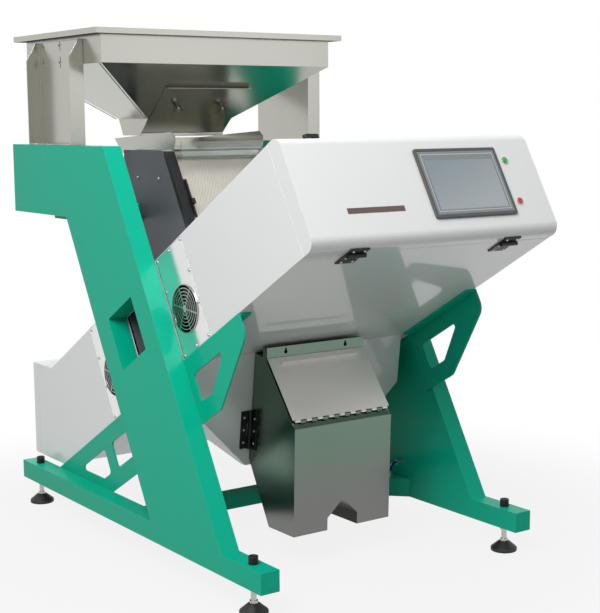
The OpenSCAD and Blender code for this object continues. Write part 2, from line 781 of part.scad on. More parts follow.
// Folded profile of the gate: a level grip at the top, the plate along the wall and an upright lip below
gate_level = [-cos(front_slope), -sin(front_slope)];
gate_plumb = [sin(front_slope), -cos(front_slope)];
gate_top = [gate_y0, 0];
gate_end = [gate_y0 + gate_l, 0];
gate_profile = [
    gate_top + gate_grip * gate_level, gate_top, gate_end, gate_end + gate_lip * gate_plumb,
    gate_end + gate_lip * gate_plumb + gate_t * gate_level,
    gate_end + [gate_t * (tan(front_slope) - 1 / cos(front_slope)), -gate_t],
    gate_top + [gate_t * tan(front_slope / 2), -gate_t],
    gate_top + gate_grip * gate_level + gate_t * gate_plumb
];
module gate_slots() for (x = [-gate_slot_x, gate_slot_x]) translate([x, gate_stud_y - gate_slot_w / 2])
    polygon(rounded(rect(-gate_slot_w / 2, 0, gate_slot_w / 2, gate_slot), gate_slot_r * [1, 1, 1, 1]));
module hopper_gate() color(steel) on_front_wall() translate([0, 0, -seat]) difference() {
    yz_plate(-gate_x, 2 * gate_x) polygon(gate_profile);
    translate([0, 0, -2 * gate_t]) linear_extrude(3 * gate_t) gate_slots();
}
module gate_studs() color("silver") on_front_wall() mirror([0, 0, 1]) for (x = [-gate_slot_x, gate_slot_x])
    translate([x, gate_stud_y, 0]) cylinder(d = gate_stud_d, h = gate_stud_l);
wing_t = 4;
wing_hub = [18, 10];
wing_outline = [[0, 2], [12, 6], [19, 18], [13, 22], [6, 11], [0, 9]];
module wing_nut() color("silver") mirror([0, 0, 1]) difference() {
    union() {
        cylinder(d = wing_hub[0], h = wing_hub[1]);
        both_sides() xz_plate(-wing_t / 2, wing_t) polygon(wing_outline);
    }
    translate([0, 0, -cut]) cylinder(d = gate_stud_d + 2 * run, h = 2 * gate_stud_l);
}
module on_gate_stud(x) on_front_wall() translate([x, gate_stud_y, -gate_t - 2 * seat]) children();
module gate_nut_left() on_gate_stud(-gate_slot_x) wing_nut();
module gate_nut_right() on_gate_stud(gate_slot_x) wing_nut();

// Vibratory feeder: the tray rides on leaf springs above a base casting, and a magnet shakes it

tray_x = tray_w / 2;
tray_y1 = 334;
tray_l = 415;
tray_heel = 50;
tray_nose = [14, 36, 26];
tray_floor_l = 395;
// Frame on the tray's floor, level with its rear end: y runs back along the floor
module on_tray() at_feed() translate([0, tray_y1, -tray_drop]) rotate([-tray_rise, 0, 0]) children();
// Height of the floor's lower face
function tray_under(y) = (tray_y1 - y) * tan(tray_rise) - tray_drop;
base_x = 110;
base_y0 = 12;
base_y1 = 242;
base_h = 50;
base_wall = [30, 40, 18];
spring_t = 8;
spring_w = 50;
spring_x = 45;
spring_in = [20, 30];
spring_ys = [base_y0 + spring_in[0], base_y1 - spring_in[1]];
spring_shift = spring_h * tan(spring_lean);
spring_z0 = base_h - deck_drop;
spring_z1 = spring_z0 + spring_h;
rib_y = 20;
armature = [80, 24];
magnet_y = 82;
magnet = [90, 70, 78];
coil = [64, 96, 46];
magnet_z = base_wall.z - deck_drop;
magnet_gap = 4;
magnet_mid = magnet_y + magnet.y / 2;
coil_z = 16;
module feeder_tray() color(steel) {
    on_tray() {
        both_sides() yz_plate(tray_x, tray_t) polygon(rounded([
            [-tray_heel, 0], [tray_nose[0] - tray_l, 0], [-tray_l, tray_nose[1]],
            [tray_nose[2] - tray_l, tray_h + 4], [0, tray_h]
        ], [0, 4, 6, 6, 0]));
        block([-tray_x, -tray_floor_l, 0], [tray_x, -tray_heel, tray_t]);
        yz_plate(-tray_x, tray_w) polygon([
            [-tray_heel, 0], [0, tray_h], [-tray_t, tray_h], [-tray_heel - tray_t, tray_t]
        ]);
    }
    at_feed() {
        for (y = spring_ys + spring_shift * [1, 1])
            block([-spring_x - spring_w, y - rib_y / 2, spring_z1 + seat],
                [spring_x + spring_w, y + rib_y / 2, tray_under(y) + tray_t / 2]);
        block([-armature.x / 2, magnet_mid - armature.y / 2, magnet_z + magnet.z + magnet_gap],
            [armature.x / 2, magnet_mid + armature.y / 2, tray_under(magnet_mid) + tray_t / 2]);
    }
}
module feeder_base() color("steelblue") at_feed() translate([0, 0, -deck_drop]) difference() {
    block([-base_x, base_y0, 0], [base_x, base_y1, base_h]);
    block([base_wall.x - base_x, base_y0 + base_wall.y, base_wall.z],
        [base_x - base_wall.x, base_y1 - base_wall.y, base_h + cut]);
}
module feeder_springs() color("saddlebrown") both_sides() at_feed() for (y = spring_ys)
    translate([0, y, spring_z0]) yz_plate(spring_x, spring_w) polygon([
        [-spring_t / 2, 0], [spring_t / 2, 0],
        [spring_shift + spring_t / 2, spring_h], [spring_shift - spring_t / 2, spring_h]
    ]);
module feeder_magnet() color("peru") at_feed() translate([0, magnet_mid, magnet_z]) {
    translate([0, 0, magnet.z / 2]) cube(magnet, center = true);
    translate([0, 0, coil.z / 2 + coil_z]) cube(coil, center = true);
}
deck_l = 282;
deck_edge = 46;
// Behind the cheeks the deck widens into wings that reach the arms
deck_wing = 130;
deck_x = cheek_x - seat;
module feeder_deck() color(frame_green) at_feed() translate([0, 0, -deck_drop]) difference() {
    union() {
        block([-inner_x, deck_wing, -deck_edge], [inner_x, deck_l, 0]);
        block([-deck_x, 0, -deck_edge], [deck_x, deck_wing + frame_wall, 0]);
    }
    block([frame_wall - inner_x, deck_wing + frame_wall, -deck_edge - cut],
        [inner_x - frame_wall, deck_l - frame_wall, -frame_wall]);
    block([frame_wall - deck_x, frame_wall, -deck_edge - cut],
        [deck_x - frame_wall, deck_wing + 2 * frame_wall, -frame_wall]);
}

// Chute with its lip, cheeks, rails and splash guard

chute_x = chute_w / 2;
chute_t = 2;
chute_edge = 10;
chute_top = (arm_top - chute_drop - lean_z(-chute_front, 0)) / c;
module chute() color("silver") leaning() {
    block([-chute_x, -chute_front, chute_end], [chute_x, chute_t - chute_front, chute_top]);
    both_sides() block([chute_x - chute_t, -chute_front - chute_edge, chute_end],
        [chute_x, -chute_front, chute_top]);
}
// Channel across the chute's upper end
lip_h = 16;
lip_d = 27;
lip_t = 2;
lip_rise = 5;
lip_over = 3;
lip_z = lip_rise - chute_drop;
lip_y = lean_y(-chute_front - chute_edge, chute_top) - feed_y - lip_over;
module chute_lip() color("gainsboro") at_feed() translate([0, lip_y, lip_z]) difference() {
    block([-chute_x, 0, 0], [chute_x, lip_d, lip_h]);
    block([-chute_x - cut, lip_t, lip_t], [chute_x + cut, lip_d + cut, lip_h - lip_t]);
}
cheek_u = -chute_front - 1;
cheek_back = 227;
cheek_z = arm_top - cheek_drop;
cheek_v = box_up + seat;
deck_z = arm_top - deck_drop + seat;
cheek_low = feed_y + deck_wing - seat;
cheek_foot = 300;
module chute_cheeks() color("dimgray") both_sides() at_sort() yz_plate(cheek_x, cheek_t) polygon([
    [col_y(cheek_z, cheek_u), cheek_z], [feed_y + cheek_back, cheek_z], [feed_y + cheek_back, deck_z],
    [cheek_low, deck_z], [cheek_low, deck_z - deck_edge],
    lean_pt(cheek_foot, cheek_v), lean_pt(cheek_u, cheek_v)
]);
rail_over = 20;
rail_in = 14;
rail_head = 12;
module chute_rails() color("black") both_sides() leaning() {
    block([chute_x + seat, -chute_front - rail_over, cheek_v],
        [cheek_x + cheek_t, cheek_u - seat, chute_top + rail_head]);
    block([chute_x + seat, cheek_u - seat, cheek_v],
        [cheek_x - seat, cheek_u + rail_in, chute_top - rail_over]);
}
guard_y = -90;
guard_h = 54;
guard_z = -46;
guard_t = 3;
guard_in = 5;
guard_x = chute_x - guard_in;
guard_arm = 14;
module splash_guard() color("lightcyan", 0.4) at_feed() translate([0, 0, guard_z]) {
    block([-guard_x, guard_y, 0], [guard_x, guard_y + guard_t, guard_h]);
    both_sides() block([guard_x - guard_t, guard_y + guard_t, 0], [guard_x, lip_y - seat, guard_arm]);
}
// Strip clamped to the chute's left edge, with a clip on it
clip_v0 = 355;
clip_v1 = 490;
clip_w = 16;
clip_t = 4;
clip_in = 2;
clip_end = 10;
clip_rib = 16;
clip_tab = [41, 59];
clip_tab_d = 22;
module chute_clip() color("black") leaning() translate([-chute_x, -chute_front - chute_edge - seat, 0]) {
    block([0, -clip_t, clip_v0], [clip_w, 0, clip_v1]);
    block([clip_in, -clip_rib, clip_v0 + clip_end], [clip_in + clip_t, -clip_t, clip_v1 - clip_end]);
    block([clip_in, -clip_tab_d, clip_v0 + clip_tab[0]], [clip_w - clip_in, -clip_t, clip_v0 + clip_tab[1]]);
}

// Hinges: drawn with the pin along X, and both leaves on a face above the pin

leaf_t = 4;
knuckle_d = 13;
pin_drop = 8;
pin_over = 2;
// Leaf and knuckles of one half, towards +Y or -Y; each knuckle is a start and a length along the pin
module hinge_half(dir, l, reach, knuckles) {
    root = knuckle_d / 2 + 1;
    top = min(pin_drop - seat, knuckle_d / 2);
    mirror([0, dir > 0 ? 0 : 1, 0]) {
        block([-l / 2, root, pin_drop - leaf_t], [l / 2, reach, pin_drop - seat]);
        for (k = knuckles) translate([k[0], 0, 0]) {
            rod_x(knuckle_d, k[1]);
            block([0, 0, pin_drop - leaf_t], [k[1], root, top]);
        }
    }
}
// Half with the two outer knuckles, bored for the pin
module hinge_outer(dir, l, reach) difference() {
    hinge_half(dir, l, reach, [[-l / 2, l / 3 - seat], [l / 6 + seat, l / 3 - seat]]);
    translate([-l, 0, 0]) rod_x(pin_d + 2 * run, 2 * l);
}
// Half with the middle knuckle and the pin
module hinge_inner(dir, l, reach) {
    hinge_half(dir, l, reach, [[-l / 6, l / 3]]);
    translate([-l / 2 - pin_over, 0, 0]) rod_x(pin_d, l + 2 * pin_over);
}
seam_u = -front_reach - door_gap / 2;
hinge_x = box_x - hinge_in;
module at_front_hinges() leaning() for (x = [-hinge_x, hinge_x])
    translate([x, seam_u, box_v0 - pin_drop]) children();
rear_seam = rear_reach + door_gap / 2;
rear_hinge_in = 70;
module at_rear_hinges() at_sort() for (z = [rear_bottom + rear_hinge_in, rear_top - rear_hinge_in])
    translate([box_x + pin_drop, rear_seam, z]) rotate([0, 90, 180]) children();
// The outlet's hinge joins the funnel's front to the outlet's left side, so its leaves are at a right angle
outlet_hinge_drop = 60;
outlet_hinge_out = 9;
outlet_hinge_z = lid_z - outlet_hinge_drop;
outlet_hinge_x = outlet_x + outlet_hinge_out;
outlet_leaf = 28;
outlet_third = outlet_hinge_l / 3;
module at_outlet_hinge() at_sort()
    translate([-outlet_hinge_x, funnel_y(outlet_hinge_z) - pin_drop, outlet_hinge_z])
        rotate([funnel_tilt, 0, 0]) translate([0, 0, -outlet_hinge_l / 2]) children();
module hinge_leaves() color("black") {
    root = knuckle_d / 2 + 1;
    at_front_hinges() hinge_outer(1, hinge_l, leaf_back);
    at_rear_hinges() hinge_outer(1, hinge_l, leaf_l);
    at_outlet_hinge() difference() {
        union() {
            block([-outlet_leaf, pin_drop - leaf_t, 0], [-root, pin_drop - seat, outlet_hinge_l]);
            for (z = [0, 2 * outlet_third + seat]) translate([0, 0, z]) {
                cylinder(d = knuckle_d, h = outlet_third - seat);
                block([-root, pin_drop - leaf_t, 0], [0, knuckle_d / 2, outlet_third - seat]);
            }
        }
        translate([0, 0, -cut]) cylinder(d = pin_d + 2 * run, h = outlet_hinge_l + 2 * cut);
    }
}

// Front door and what it carries

door_face = -door_front;
door_back = -front_reach - door_gap;
function door_outline(t, over) = rounded([
    [door_back + over, box_v0 + t], [door_back + over, box_up - t],
    [door_face + t, box_up - t], [door_face + t, box_v0 + t]
], [0, 0, door_r - t, door_r - t], 10);
hmi_in = 20;
button_hole_d = button_d + 1;
neck_d = button_d + 4;
button_vs = [button_pitch / 2, -button_pitch / 2];
hmi_x = box_x - hmi_from_edge;
button_x = box_x - button_in;
strip_in = 232;
strip_x = strip_in - box_x;
strip_v = -66;
module front_door() color(white) leaning() difference() {
    hx = hmi_w / 2 - hmi_in;
    hv = hmi_h / 2 - hmi_in;
    yz_plate(-box_x, 2 * box_x) polygon(door_outline(0, 0));
    yz_plate(sheet - box_x, 2 * (box_x - sheet)) polygon(door_outline(sheet, cut));
    block([hmi_x - hx, door_face - cut, -hv], [hmi_x + hx, door_face + cut, hv]);
    for (v = button_vs) translate([button_x, door_face - cut, v]) rod_y(neck_d + 2 * seat, 2 * cut);
    translate([strip_x, door_face, strip_v]) cube([strip_l, 2 * cut, strip_h], center = true);
}
module door_hinge_flaps() color("black") at_front_hinges() hinge_inner(-1, hinge_l, leaf_l);

hmi_t = 7;
hmi_body = 34;
hmi_r = 6;
screen_in = 3;
screen_back = 0.8;
module hmi_bezel() color("dimgray") leaning() translate([hmi_x, door_face, 0]) difference() {
    hx = hmi_w / 2 - hmi_in - seat;
    hv = hmi_h / 2 - hmi_in - seat;
    sx = hmi_w / 2 - hmi_border;
    sv = hmi_h / 2 - hmi_border;
    union() {
        xz_plate(-hmi_t, hmi_t)
            polygon(rounded(rect(-hmi_w / 2, -hmi_h / 2, hmi_w / 2, hmi_h / 2), hmi_r * [1, 1, 1, 1]));
        block([-hx, 0, -hv], [hx, hmi_body, hv]);
    }
    block([-sx, -hmi_t - cut, -sv], [sx, screen_in - hmi_t, sv]);
}
module hmi_screen() color("lightslategray") leaning() translate([hmi_x, door_face, 0]) {
    sx = hmi_w / 2 - hmi_border - seat;
    sv = hmi_h / 2 - hmi_border - seat;
    block([-sx, screen_back - hmi_t, -sv], [sx, screen_in - hmi_t, sv]);
}
strip_proud = 0.6;
strip_t = 4.6;
module status_strip() color("saddlebrown") leaning() translate([strip_x, door_face - strip_proud, strip_v])
    block([seat - strip_l / 2, 0, seat - strip_h / 2], [strip_l / 2 - seat, strip_t, strip_h / 2 - seat]);

bezel_d = button_d + 7;
bezel_t = 3;
button_l = 14;
switch_l = 22;
// Flanged collar through the door, with the switch body behind it
module button_bezel() difference() {
    union() {
        translate([0, -bezel_t, 0]) rod_y(bezel_d, bezel_t);
        rod_y(neck_d, switch_l);
    }
    translate([0, -bezel_t - cut, 0]) rod_y(button_hole_d, switch_l);
}
module at_button(v) leaning() translate([button_x, door_face, v]) children();
module button_bezels() color("silver") for (v = button_vs) at_button(v) button_bezel();
button_sunk = 1;
button_face = button_sunk - bezel_t - button_travel;
module button(v) at_button(v) translate([0, button_face, 0]) rod_y(button_d, button_l);
module start_button() color("limegreen") button(button_vs[0]);
module stop_button() color("red") button(button_vs[1]);

// Turning latch on the door's top edge
latch_in = 124;
latch_x = latch_in - box_x;
latch_back = 10;
latch_u = door_back - latch_back;
latch_outline = [[-14, -9], [34, -7], [34, 7], [-14, 9]];
latch_post = [18, 8];
latch_h = 10;
module door_latch() color("black") leaning() translate([latch_x, latch_u, box_up + seat]) {
    cylinder(d = latch_post.x, h = latch_post.y);
    translate([0, 0, latch_post.y]) linear_extrude(latch_h) polygon(rounded(latch_outline, [8, 6, 6, 8]));
}

// Rear door

module rear_door() color(white) at_sort() difference() {
    y0 = rear_reach + door_gap;
    block([-box_x, y0, rear_bottom], [box_x, reach_back, rear_top]);
    block([sheet - box_x, y0 - cut, rear_bottom + sheet],
        [box_x - sheet, reach_back - sheet, rear_top - sheet]);
}
module rear_hinge_flaps() color("black") at_rear_hinges() hinge_inner(-1, hinge_l, leaf_l);

// Outlet that hangs in front of the funnel: a folded hood with a tunnel that parts its two mouths

outlet_gap = 0.5;
outlet_back_z = 293;
outlet_reach = 205;
foot_reach = [194, 64];
lid_reach = 195;
lid_head = 11;
outlet_front = funnel_top.x - outlet_reach;
outlet_foot = [funnel_top.x - foot_reach[0], funnel_top.x - foot_reach[1]];
lid_y = funnel_top.x - lid_reach;
lid_slope = 52;
lid_top_z = funnel_top.y - lid_head;
lid_rise = lid_top_z - lid_z;
lid_top_y = lid_y + lid_rise / tan(lid_slope);
lid_seat = 8;
lid_ledge = [2, 4];
front_fold = 20;
function outlet_side(t, over) = [
    [funnel_y(funnel_top.y) - outlet_gap + over, funnel_top.y - 2 * t],
    [funnel_y(outlet_back_z) - outlet_gap + over, outlet_back_z + 0.6 * t],
    [outlet_foot[1] - t, outlet_z - over], [outlet_foot[0] + t, outlet_z - over],
    [outlet_front + t, lid_z - front_fold], [lid_y + lid_seat - lid_ledge[0] + t, lid_z - lid_ledge[1] - t],
    [lid_top_y + lid_seat + t, lid_top_z - 2 * t]
];
notch_eave = 0.42 * notch_h;
module notch(t, over) xz_plate(-3 * funnel_x, 4 * funnel_x) polygon([
    [-notch_x - t, outlet_z - over], [-notch_x - t, outlet_z + notch_eave],
    [0, outlet_z + notch_h + 1.4 * t],
    [notch_x + t, outlet_z + notch_eave], [notch_x + t, outlet_z - over]
]);
lid_open = [12, 20, 150];
piano_d = 6;
piano_pin = 3;
knuckle_l = 18;
knuckle_step = 20;
lid_ks = [-8:2:8];
hood_ks = [-7:2:7];
piano_x = knuckle_step * 8.5;
hanger_h = 33;
hanger_d = 22;
hanger_t = 2;
keyhole_x = 110;
keyhole = [12, 6, 11];
// Frame on the lid's hinge: y runs up the closed lid
module on_lid() at_sort() translate([0, lid_y, lid_z]) rotate([lid_slope, 0, 0]) children();
module outlet_shell() difference() {
    at_sort() yz_plate(-outlet_x, 2 * outlet_x) polygon(outlet_side(0, 0));
    at_sort() yz_plate(outlet_t - outlet_x, 2 * (outlet_x - outlet_t)) polygon(outlet_side(outlet_t, cut));
    on_lid() block([lid_open[0] - outlet_x, lid_open[1], -lid_open[1]],
        [outlet_x - lid_open[0], lid_open[1] + lid_open[2], cut]);
}
module outlet_hood() difference() {
    union() {
        outlet_shell();
        intersection() {
            at_sort() notch(outlet_t, 0);
            at_sort() yz_plate(-outlet_x, 2 * outlet_x) polygon(outlet_side(0, 0));
        }
    }
    at_sort() notch(0, cut);
}
module outlet() color("silver") {
    outlet_hood();
    at_sort() translate([0, lid_top_y, lid_top_z]) difference() {
        union() {
            block([-outlet_x, 0, seat], [outlet_x, hanger_t, hanger_h]);
            block([-outlet_x, 0, hanger_h - hanger_t], [outlet_x, hanger_d, hanger_h]);
            both_sides() block([outlet_x - hanger_t, 0, -lid_seat], [outlet_x, hanger_d, hanger_h]);
        }
        both_sides() translate([keyhole_x, -cut, hanger_h / 2]) {
            rod_y(keyhole[0], 2 * cut);
            block([-keyhole[1] / 2, 0, 0], [keyhole[1] / 2, 2 * cut, keyhole[2]]);
        }
    }
    on_lid() {
        for (k = hood_ks) translate([k * knuckle_step - knuckle_l / 2, 0, 0]) {
            rod_x(piano_d, knuckle_l);
            rotate([-lid_slope, 0, 0])
                block([seat, -lid_z0, -piano_d], [knuckle_l - seat, lid_seat, -lid_z0]);
        }
        translate([-piano_x, 0, 0]) rod_x(piano_pin, 2 * piano_x);
    }
}
lid_l = lid_rise / sin(lid_slope);
lid_t = 2;
lid_z0 = 1;
handle = [140, 24, 14];
module outlet_lid() color("silver") on_lid() {
    block([-outlet_x, piano_d / 2 + 1, lid_z0], [outlet_x, lid_l, lid_z0 + lid_t]);
    block([-handle.x, lid_l - handle.y, lid_z0], [handle.x, lid_l - handle.y + lid_t, lid_z0 + handle.z]);
    for (k = lid_ks) translate([k * knuckle_step - knuckle_l / 2, 0, 0]) difference() {
        union() {
            rod_x(piano_d, knuckle_l);
            block([0, 0, lid_z0], [knuckle_l, piano_d / 2 + 1, lid_z0 + lid_t]);
        }
        translate([-cut, 0, 0]) rod_x(piano_pin + 2 * run, knuckle_l + 2 * cut);
    }
}
module outlet_hinge_flap() color("black") at_outlet_hinge() {
    root = knuckle_d / 2 + 1;
    face = outlet_hinge_x - outlet_x;
    translate([0, 0, outlet_third]) cylinder(d = knuckle_d, h = outlet_third);
    translate([0, 0, -pin_over]) cylinder(d = pin_d, h = outlet_hinge_l + 2 * pin_over);
    block([face - leaf_t, -outlet_leaf, 0], [face - seat, -root, outlet_hinge_l]);
    block([0, -root, outlet_third], [face - seat, 0, 2 * outlet_third]);
}

// Air hose from the right column round the outlet to the funnel's back, where the ejector takes its air

feed_slope = atan2(funnel_rear.y - funnel_low, funnel_rear.x - funnel_y(funnel_low) - funnel_floor);
feed_dir = [0, sin(feed_slope), -cos(feed_slope)];
feed_in = [60, 90];
feed_drop = feed_in[1] * tan(feed_slope);
feed_foot = [feed_in[0], funnel_rear.x - feed_in[1], funnel_rear.y - feed_drop] + seat * feed_dir;
fitting_l = 22;
fitting_d = hose_d + 6;
fitting_reach = fitting_l + seat;
hose_from = [inner_x - fitting_reach, -172, 190];
hose_to = feed_foot + fitting_reach * feed_dir;
// Points of the hose, seen from the end that each of them is nearer to
hose_out = [
    [0, 0, 0], [-16, -3, -1], [-32, -13, -6], [-47, -24, -16], [-68, -32, -27], [-101, -30, -34],
    [-141, -12, -36], [-181, 17, -32], [-221, 52, -20]
];
hose_back = [
    [90, -60, -172], [58, -25, -140], [32, 9, -102], [14, 29, -64], [4, 28, -36], [2, 12, -12.5], [0, 0, 0]
];
hose_route = concat([for (p = hose_out) hose_from + p], [for (p = hose_back) hose_to + p]);
hose_sides = 10;
hose_n = len(hose_route);
function along(i) =
    i == 0 ? [-1, 0, 0] : i == hose_n - 1 ? -feed_dir : unit(hose_route[i + 1] - hose_route[i - 1]);
function ring(i) =
    let (d = along(i), a = unit(cross(d, [0.1, 0.2, 1])), b = cross(d, a))
    [for (k = [0:hose_sides - 1])
        hose_route[i] + hose_d / 2 * (a * cos(360 * k / hose_sides) + b * sin(360 * k / hose_sides))];
module air_hose() color("mediumblue") at_sort() {
    m = hose_sides;
    last = hose_n - 2;
    polyhedron(
        points = [for (i = [0:hose_n - 1]) each ring(i)],
        faces = concat(
            [[for (k = [m - 1:-1:0]) k]],
            [for (i = [0:last], k = [0:m - 1])
                let (n = (k + 1) % m) [i * m + k, i * m + n, (i + 1) * m + n]],
            [for (i = [0:last], k = [0:m - 1])
                let (n = (k + 1) % m) [i * m + k, (i + 1) * m + n, (i + 1) * m + k]],
            [[for (k = [0:m - 1]) (hose_n - 1) * m + k]])
    );
}
module air_fittings() color("silver") at_sort() {
    translate(hose_from + [seat, 0, 0]) rod_x(fitting_d, fitting_l);
    translate(feed_foot) rotate([180 + feed_slope, 0, 0]) cylinder(d = fitting_d, h = fitting_l);
}

left_frame();
right_frame();
cross_beam();
front_brackets();
rear_brackets();
foot_pads();
foot_studs();
foot_caps();
front_box();
rear_box();
chamber();
partitions();
glass_panes();
fan_panels();
fan_guards();
fan_housings();
panel_screws();
cameras();
lamp_bars();
ejector();
funnel();
hopper();
hopper_legs();
gate_studs();
feeder_deck();
feeder_base();
feeder_springs();
feeder_magnet();
chute();
chute_lip();
chute_cheeks();
chute_rails();
splash_guard();
chute_clip();
air_hose();
air_fittings();
hinge_leaves();
front_door();
door_hinge_flaps();
hmi_bezel();
hmi_screen();
status_strip();
button_bezels();
start_button();
stop_button();
door_latch();
rear_door();
rear_hinge_flaps();
hopper_gate();
gate_nut_left();
gate_nut_right();
feeder_tray();
rotor_front_left();
rotor_front_right();
rotor_rear_left();
rotor_rear_right();
outlet();
outlet_lid();
outlet_hinge_flap();
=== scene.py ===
"""Looks of a free-standing optical grain sorter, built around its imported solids."""

import json
import math

import bmesh
import bpy
from mathutils import Matrix, Vector


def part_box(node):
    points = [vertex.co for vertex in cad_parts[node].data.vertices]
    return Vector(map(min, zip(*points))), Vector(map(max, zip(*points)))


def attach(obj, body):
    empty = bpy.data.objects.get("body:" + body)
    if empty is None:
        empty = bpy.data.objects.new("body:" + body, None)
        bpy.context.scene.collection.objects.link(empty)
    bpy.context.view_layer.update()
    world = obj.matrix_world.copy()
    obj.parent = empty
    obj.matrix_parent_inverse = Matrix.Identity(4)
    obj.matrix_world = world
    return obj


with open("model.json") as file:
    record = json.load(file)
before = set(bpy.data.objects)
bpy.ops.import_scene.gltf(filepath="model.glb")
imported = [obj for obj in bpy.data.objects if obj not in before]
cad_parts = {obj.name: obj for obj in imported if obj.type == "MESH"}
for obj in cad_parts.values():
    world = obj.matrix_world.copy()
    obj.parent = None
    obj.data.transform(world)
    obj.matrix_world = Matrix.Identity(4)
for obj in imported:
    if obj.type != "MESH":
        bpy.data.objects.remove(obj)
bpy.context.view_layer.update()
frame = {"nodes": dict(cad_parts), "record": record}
nodes = frame["nodes"]

# Leaning frame of the optical parts, in metres and radians
LEAN = math.radians(30)
SORT_Y = 0.015819
SORT_Z = 0.682

# Camera at the photograph's angle, for an image of 600 by 613
CAMERA_PLACE = (-2.347, -3.515, 1.306)
CAMERA_TURN = math.radians(35.23)
CAMERA_DIP = math.radians(8.61)
CAMERA_ROLL = math.radians(-0.39)
CAMERA_LENS = 81.07
CAMERA_SENSOR = 36
CAMERA_SHIFT = (-0.002, 0.03)
CAMERA_FAR = 60

# Lamps: place, point aimed at, width and height, power
LAMPS = {
    "key": ((-3.3, -2.4, 4.1), (0, 0, 0.8), (2.8, 2.4), 208),
    "fill": ((2.6, -4.2, 2.2), (0, 0, 0.9), (2.0, 2.0), 5),
    "top": ((-0.2, -0.4, 4.4), (0, 0, 0.8), (3.0, 3.0), 52),
    "back": ((1.2, 4.2, 2.6), (0, 0, 0.9), (2.6, 2.0), 30),
}

# World: what it gives as light, and what a camera or a mirror sees of it
WHITE = (1, 1, 1, 1)
WORLD_TINT = (0.96, 0.98, 1, 1)
WORLD_LIGHT = 0.15
WORLD_SEEN = 1.0

# Floor: half its side, the span over which its shadow fades, its white near the machine
FLOOR_HALF = 14.0
FLOOR_SHADOW = (0.9, 1.9)
FLOOR_WHITE = 0.86
FLOOR_TONE = (0.42, 0.42, 0.41, 1)

SIDES = ((-1, "left"), (1, "right"))


def lean_point(x, u, v):
    """Point of the leaning frame: u runs back across the grain stream, v up along it."""
    c, s = math.cos(LEAN), math.sin(LEAN)
    return Vector((x, SORT_Y + u * c + v * s, SORT_Z - u * s + v * c))


def lean_way(x, u, v):
    """Direction of the leaning frame."""
    return lean_point(x, u, v) - lean_point(0, 0, 0)


def tone(r, g, b):
    """Linear colour of an sRGB tone given from 0 to 255."""
    def linear(value):
        value /= 255
        return value / 12.92 if value <= 0.04045 else ((value + 0.055) / 1.055) ** 2.4
    return (linear(r), linear(g), linear(b), 1.0)


# Nodes that the trees below share

def join(tree, value, socket):
    """Links an output to a socket, or sets a number or a colour on it."""
    if isinstance(value, bpy.types.NodeSocket):
        tree.links.new(value, socket)
    else:
        socket.default_value = value


def calc(tree, operation, a, b=None):
    """Maths node on one or two values."""
    node = tree.nodes.new("ShaderNodeMath")
    node.operation = operation
    join(tree, a, node.inputs[0])
    if b is not None:
        join(tree, b, node.inputs[1])
    return node.outputs[0]


def ramp(tree, value, start, stop, low=0.0, high=1.0, smooth=False):
    """Carries a value from one span to another and holds it at both ends."""
    node = tree.nodes.new("ShaderNodeMapRange")
    if smooth:
        node.interpolation_type = "SMOOTHSTEP"
    spans = {"Value": value, "From Min": start, "From Max": stop, "To Min": low, "To Max": high}
    for label, number in spans.items():
        join(tree, number, node.inputs[label])
    return node.outputs["Result"]


def split(tree, vector):
    """The three parts of a vector."""
    node = tree.nodes.new("ShaderNodeSeparateXYZ")
    tree.links.new(vector, node.inputs[0])
    return node.outputs["X"], node.outputs["Y"], node.outputs["Z"]


def blend_colour(tree, factor, a, b):
    mix = tree.nodes.new("ShaderNodeMix")
    mix.data_type = "RGBA"
    for number, value in ((0, factor), (6, a), (7, b)):
        join(tree, value, mix.inputs[number])
    return mix.outputs[2]


def scale_colour(tree, colour, factor):
    node = tree.nodes.new("ShaderNodeVectorMath")
    node.operation = "SCALE"
    tree.links.new(colour, node.inputs[0])
    tree.links.new(factor, node.inputs["Scale"])
    return node.outputs[0]


def own_place(tree):
    """Coordinates on the piece itself."""
    return tree.nodes.new("ShaderNodeTexCoord").outputs


def noise_at(tree, scale, detail=3.0, stretch=(1, 1, 1)):
    """Noise over the piece's own place, stretched."""
    mapping = tree.nodes.new("ShaderNodeMapping")
    mapping.inputs["Scale"].default_value = stretch
    tree.links.new(own_place(tree)["Object"], mapping.inputs["Vector"])
    noise = tree.nodes.new("ShaderNodeTexNoise")
    noise.inputs["Detail"].default_value = detail
    join(tree, scale, noise.inputs["Scale"])
    tree.links.new(mapping.outputs["Vector"], noise.inputs["Vector"])
    return noise.outputs["Fac"]


def centred(tree, noise):
    """Noise that swings to both sides of nought."""
    return calc(tree, "SUBTRACT", noise, 0.5)


def box_mask(tree, x, y, centre, half, soft):
    """One inside a rectangle, falling to nought over a soft edge."""
    sides = []
    for axis, middle, reach in ((x, centre[0], half[0]), (y, centre[1], half[1])):
        away = calc(tree, "ABSOLUTE", calc(tree, "SUBTRACT", axis, middle))
        sides.append(ramp(tree, away, reach, reach + soft, 1, 0))
    return calc(tree, "MULTIPLY", *sides)


# Camera, light and floor

def make_camera():
    data = bpy.data.cameras.new("photo_camera")
    data.sensor_fit = "HORIZONTAL"
    data.sensor_width = CAMERA_SENSOR
    data.lens = CAMERA_LENS
    data.shift_x, data.shift_y = CAMERA_SHIFT
    data.clip_end = CAMERA_FAR
    camera = bpy.data.objects.new("photo_camera", data)
    bpy.context.scene.collection.objects.link(camera)
    level = math.cos(CAMERA_DIP)
    ahead = Vector((math.sin(CAMERA_TURN) * level, math.cos(CAMERA_TURN) * level,
                    -math.sin(CAMERA_DIP)))
    turn = ahead.to_track_quat("-Z", "Y").to_matrix() @ Matrix.Rotation(CAMERA_ROLL, 3, "Z")
    camera.matrix_world = Matrix.Translation(CAMERA_PLACE) @ turn.to_4x4()
    bpy.context.scene.camera = camera


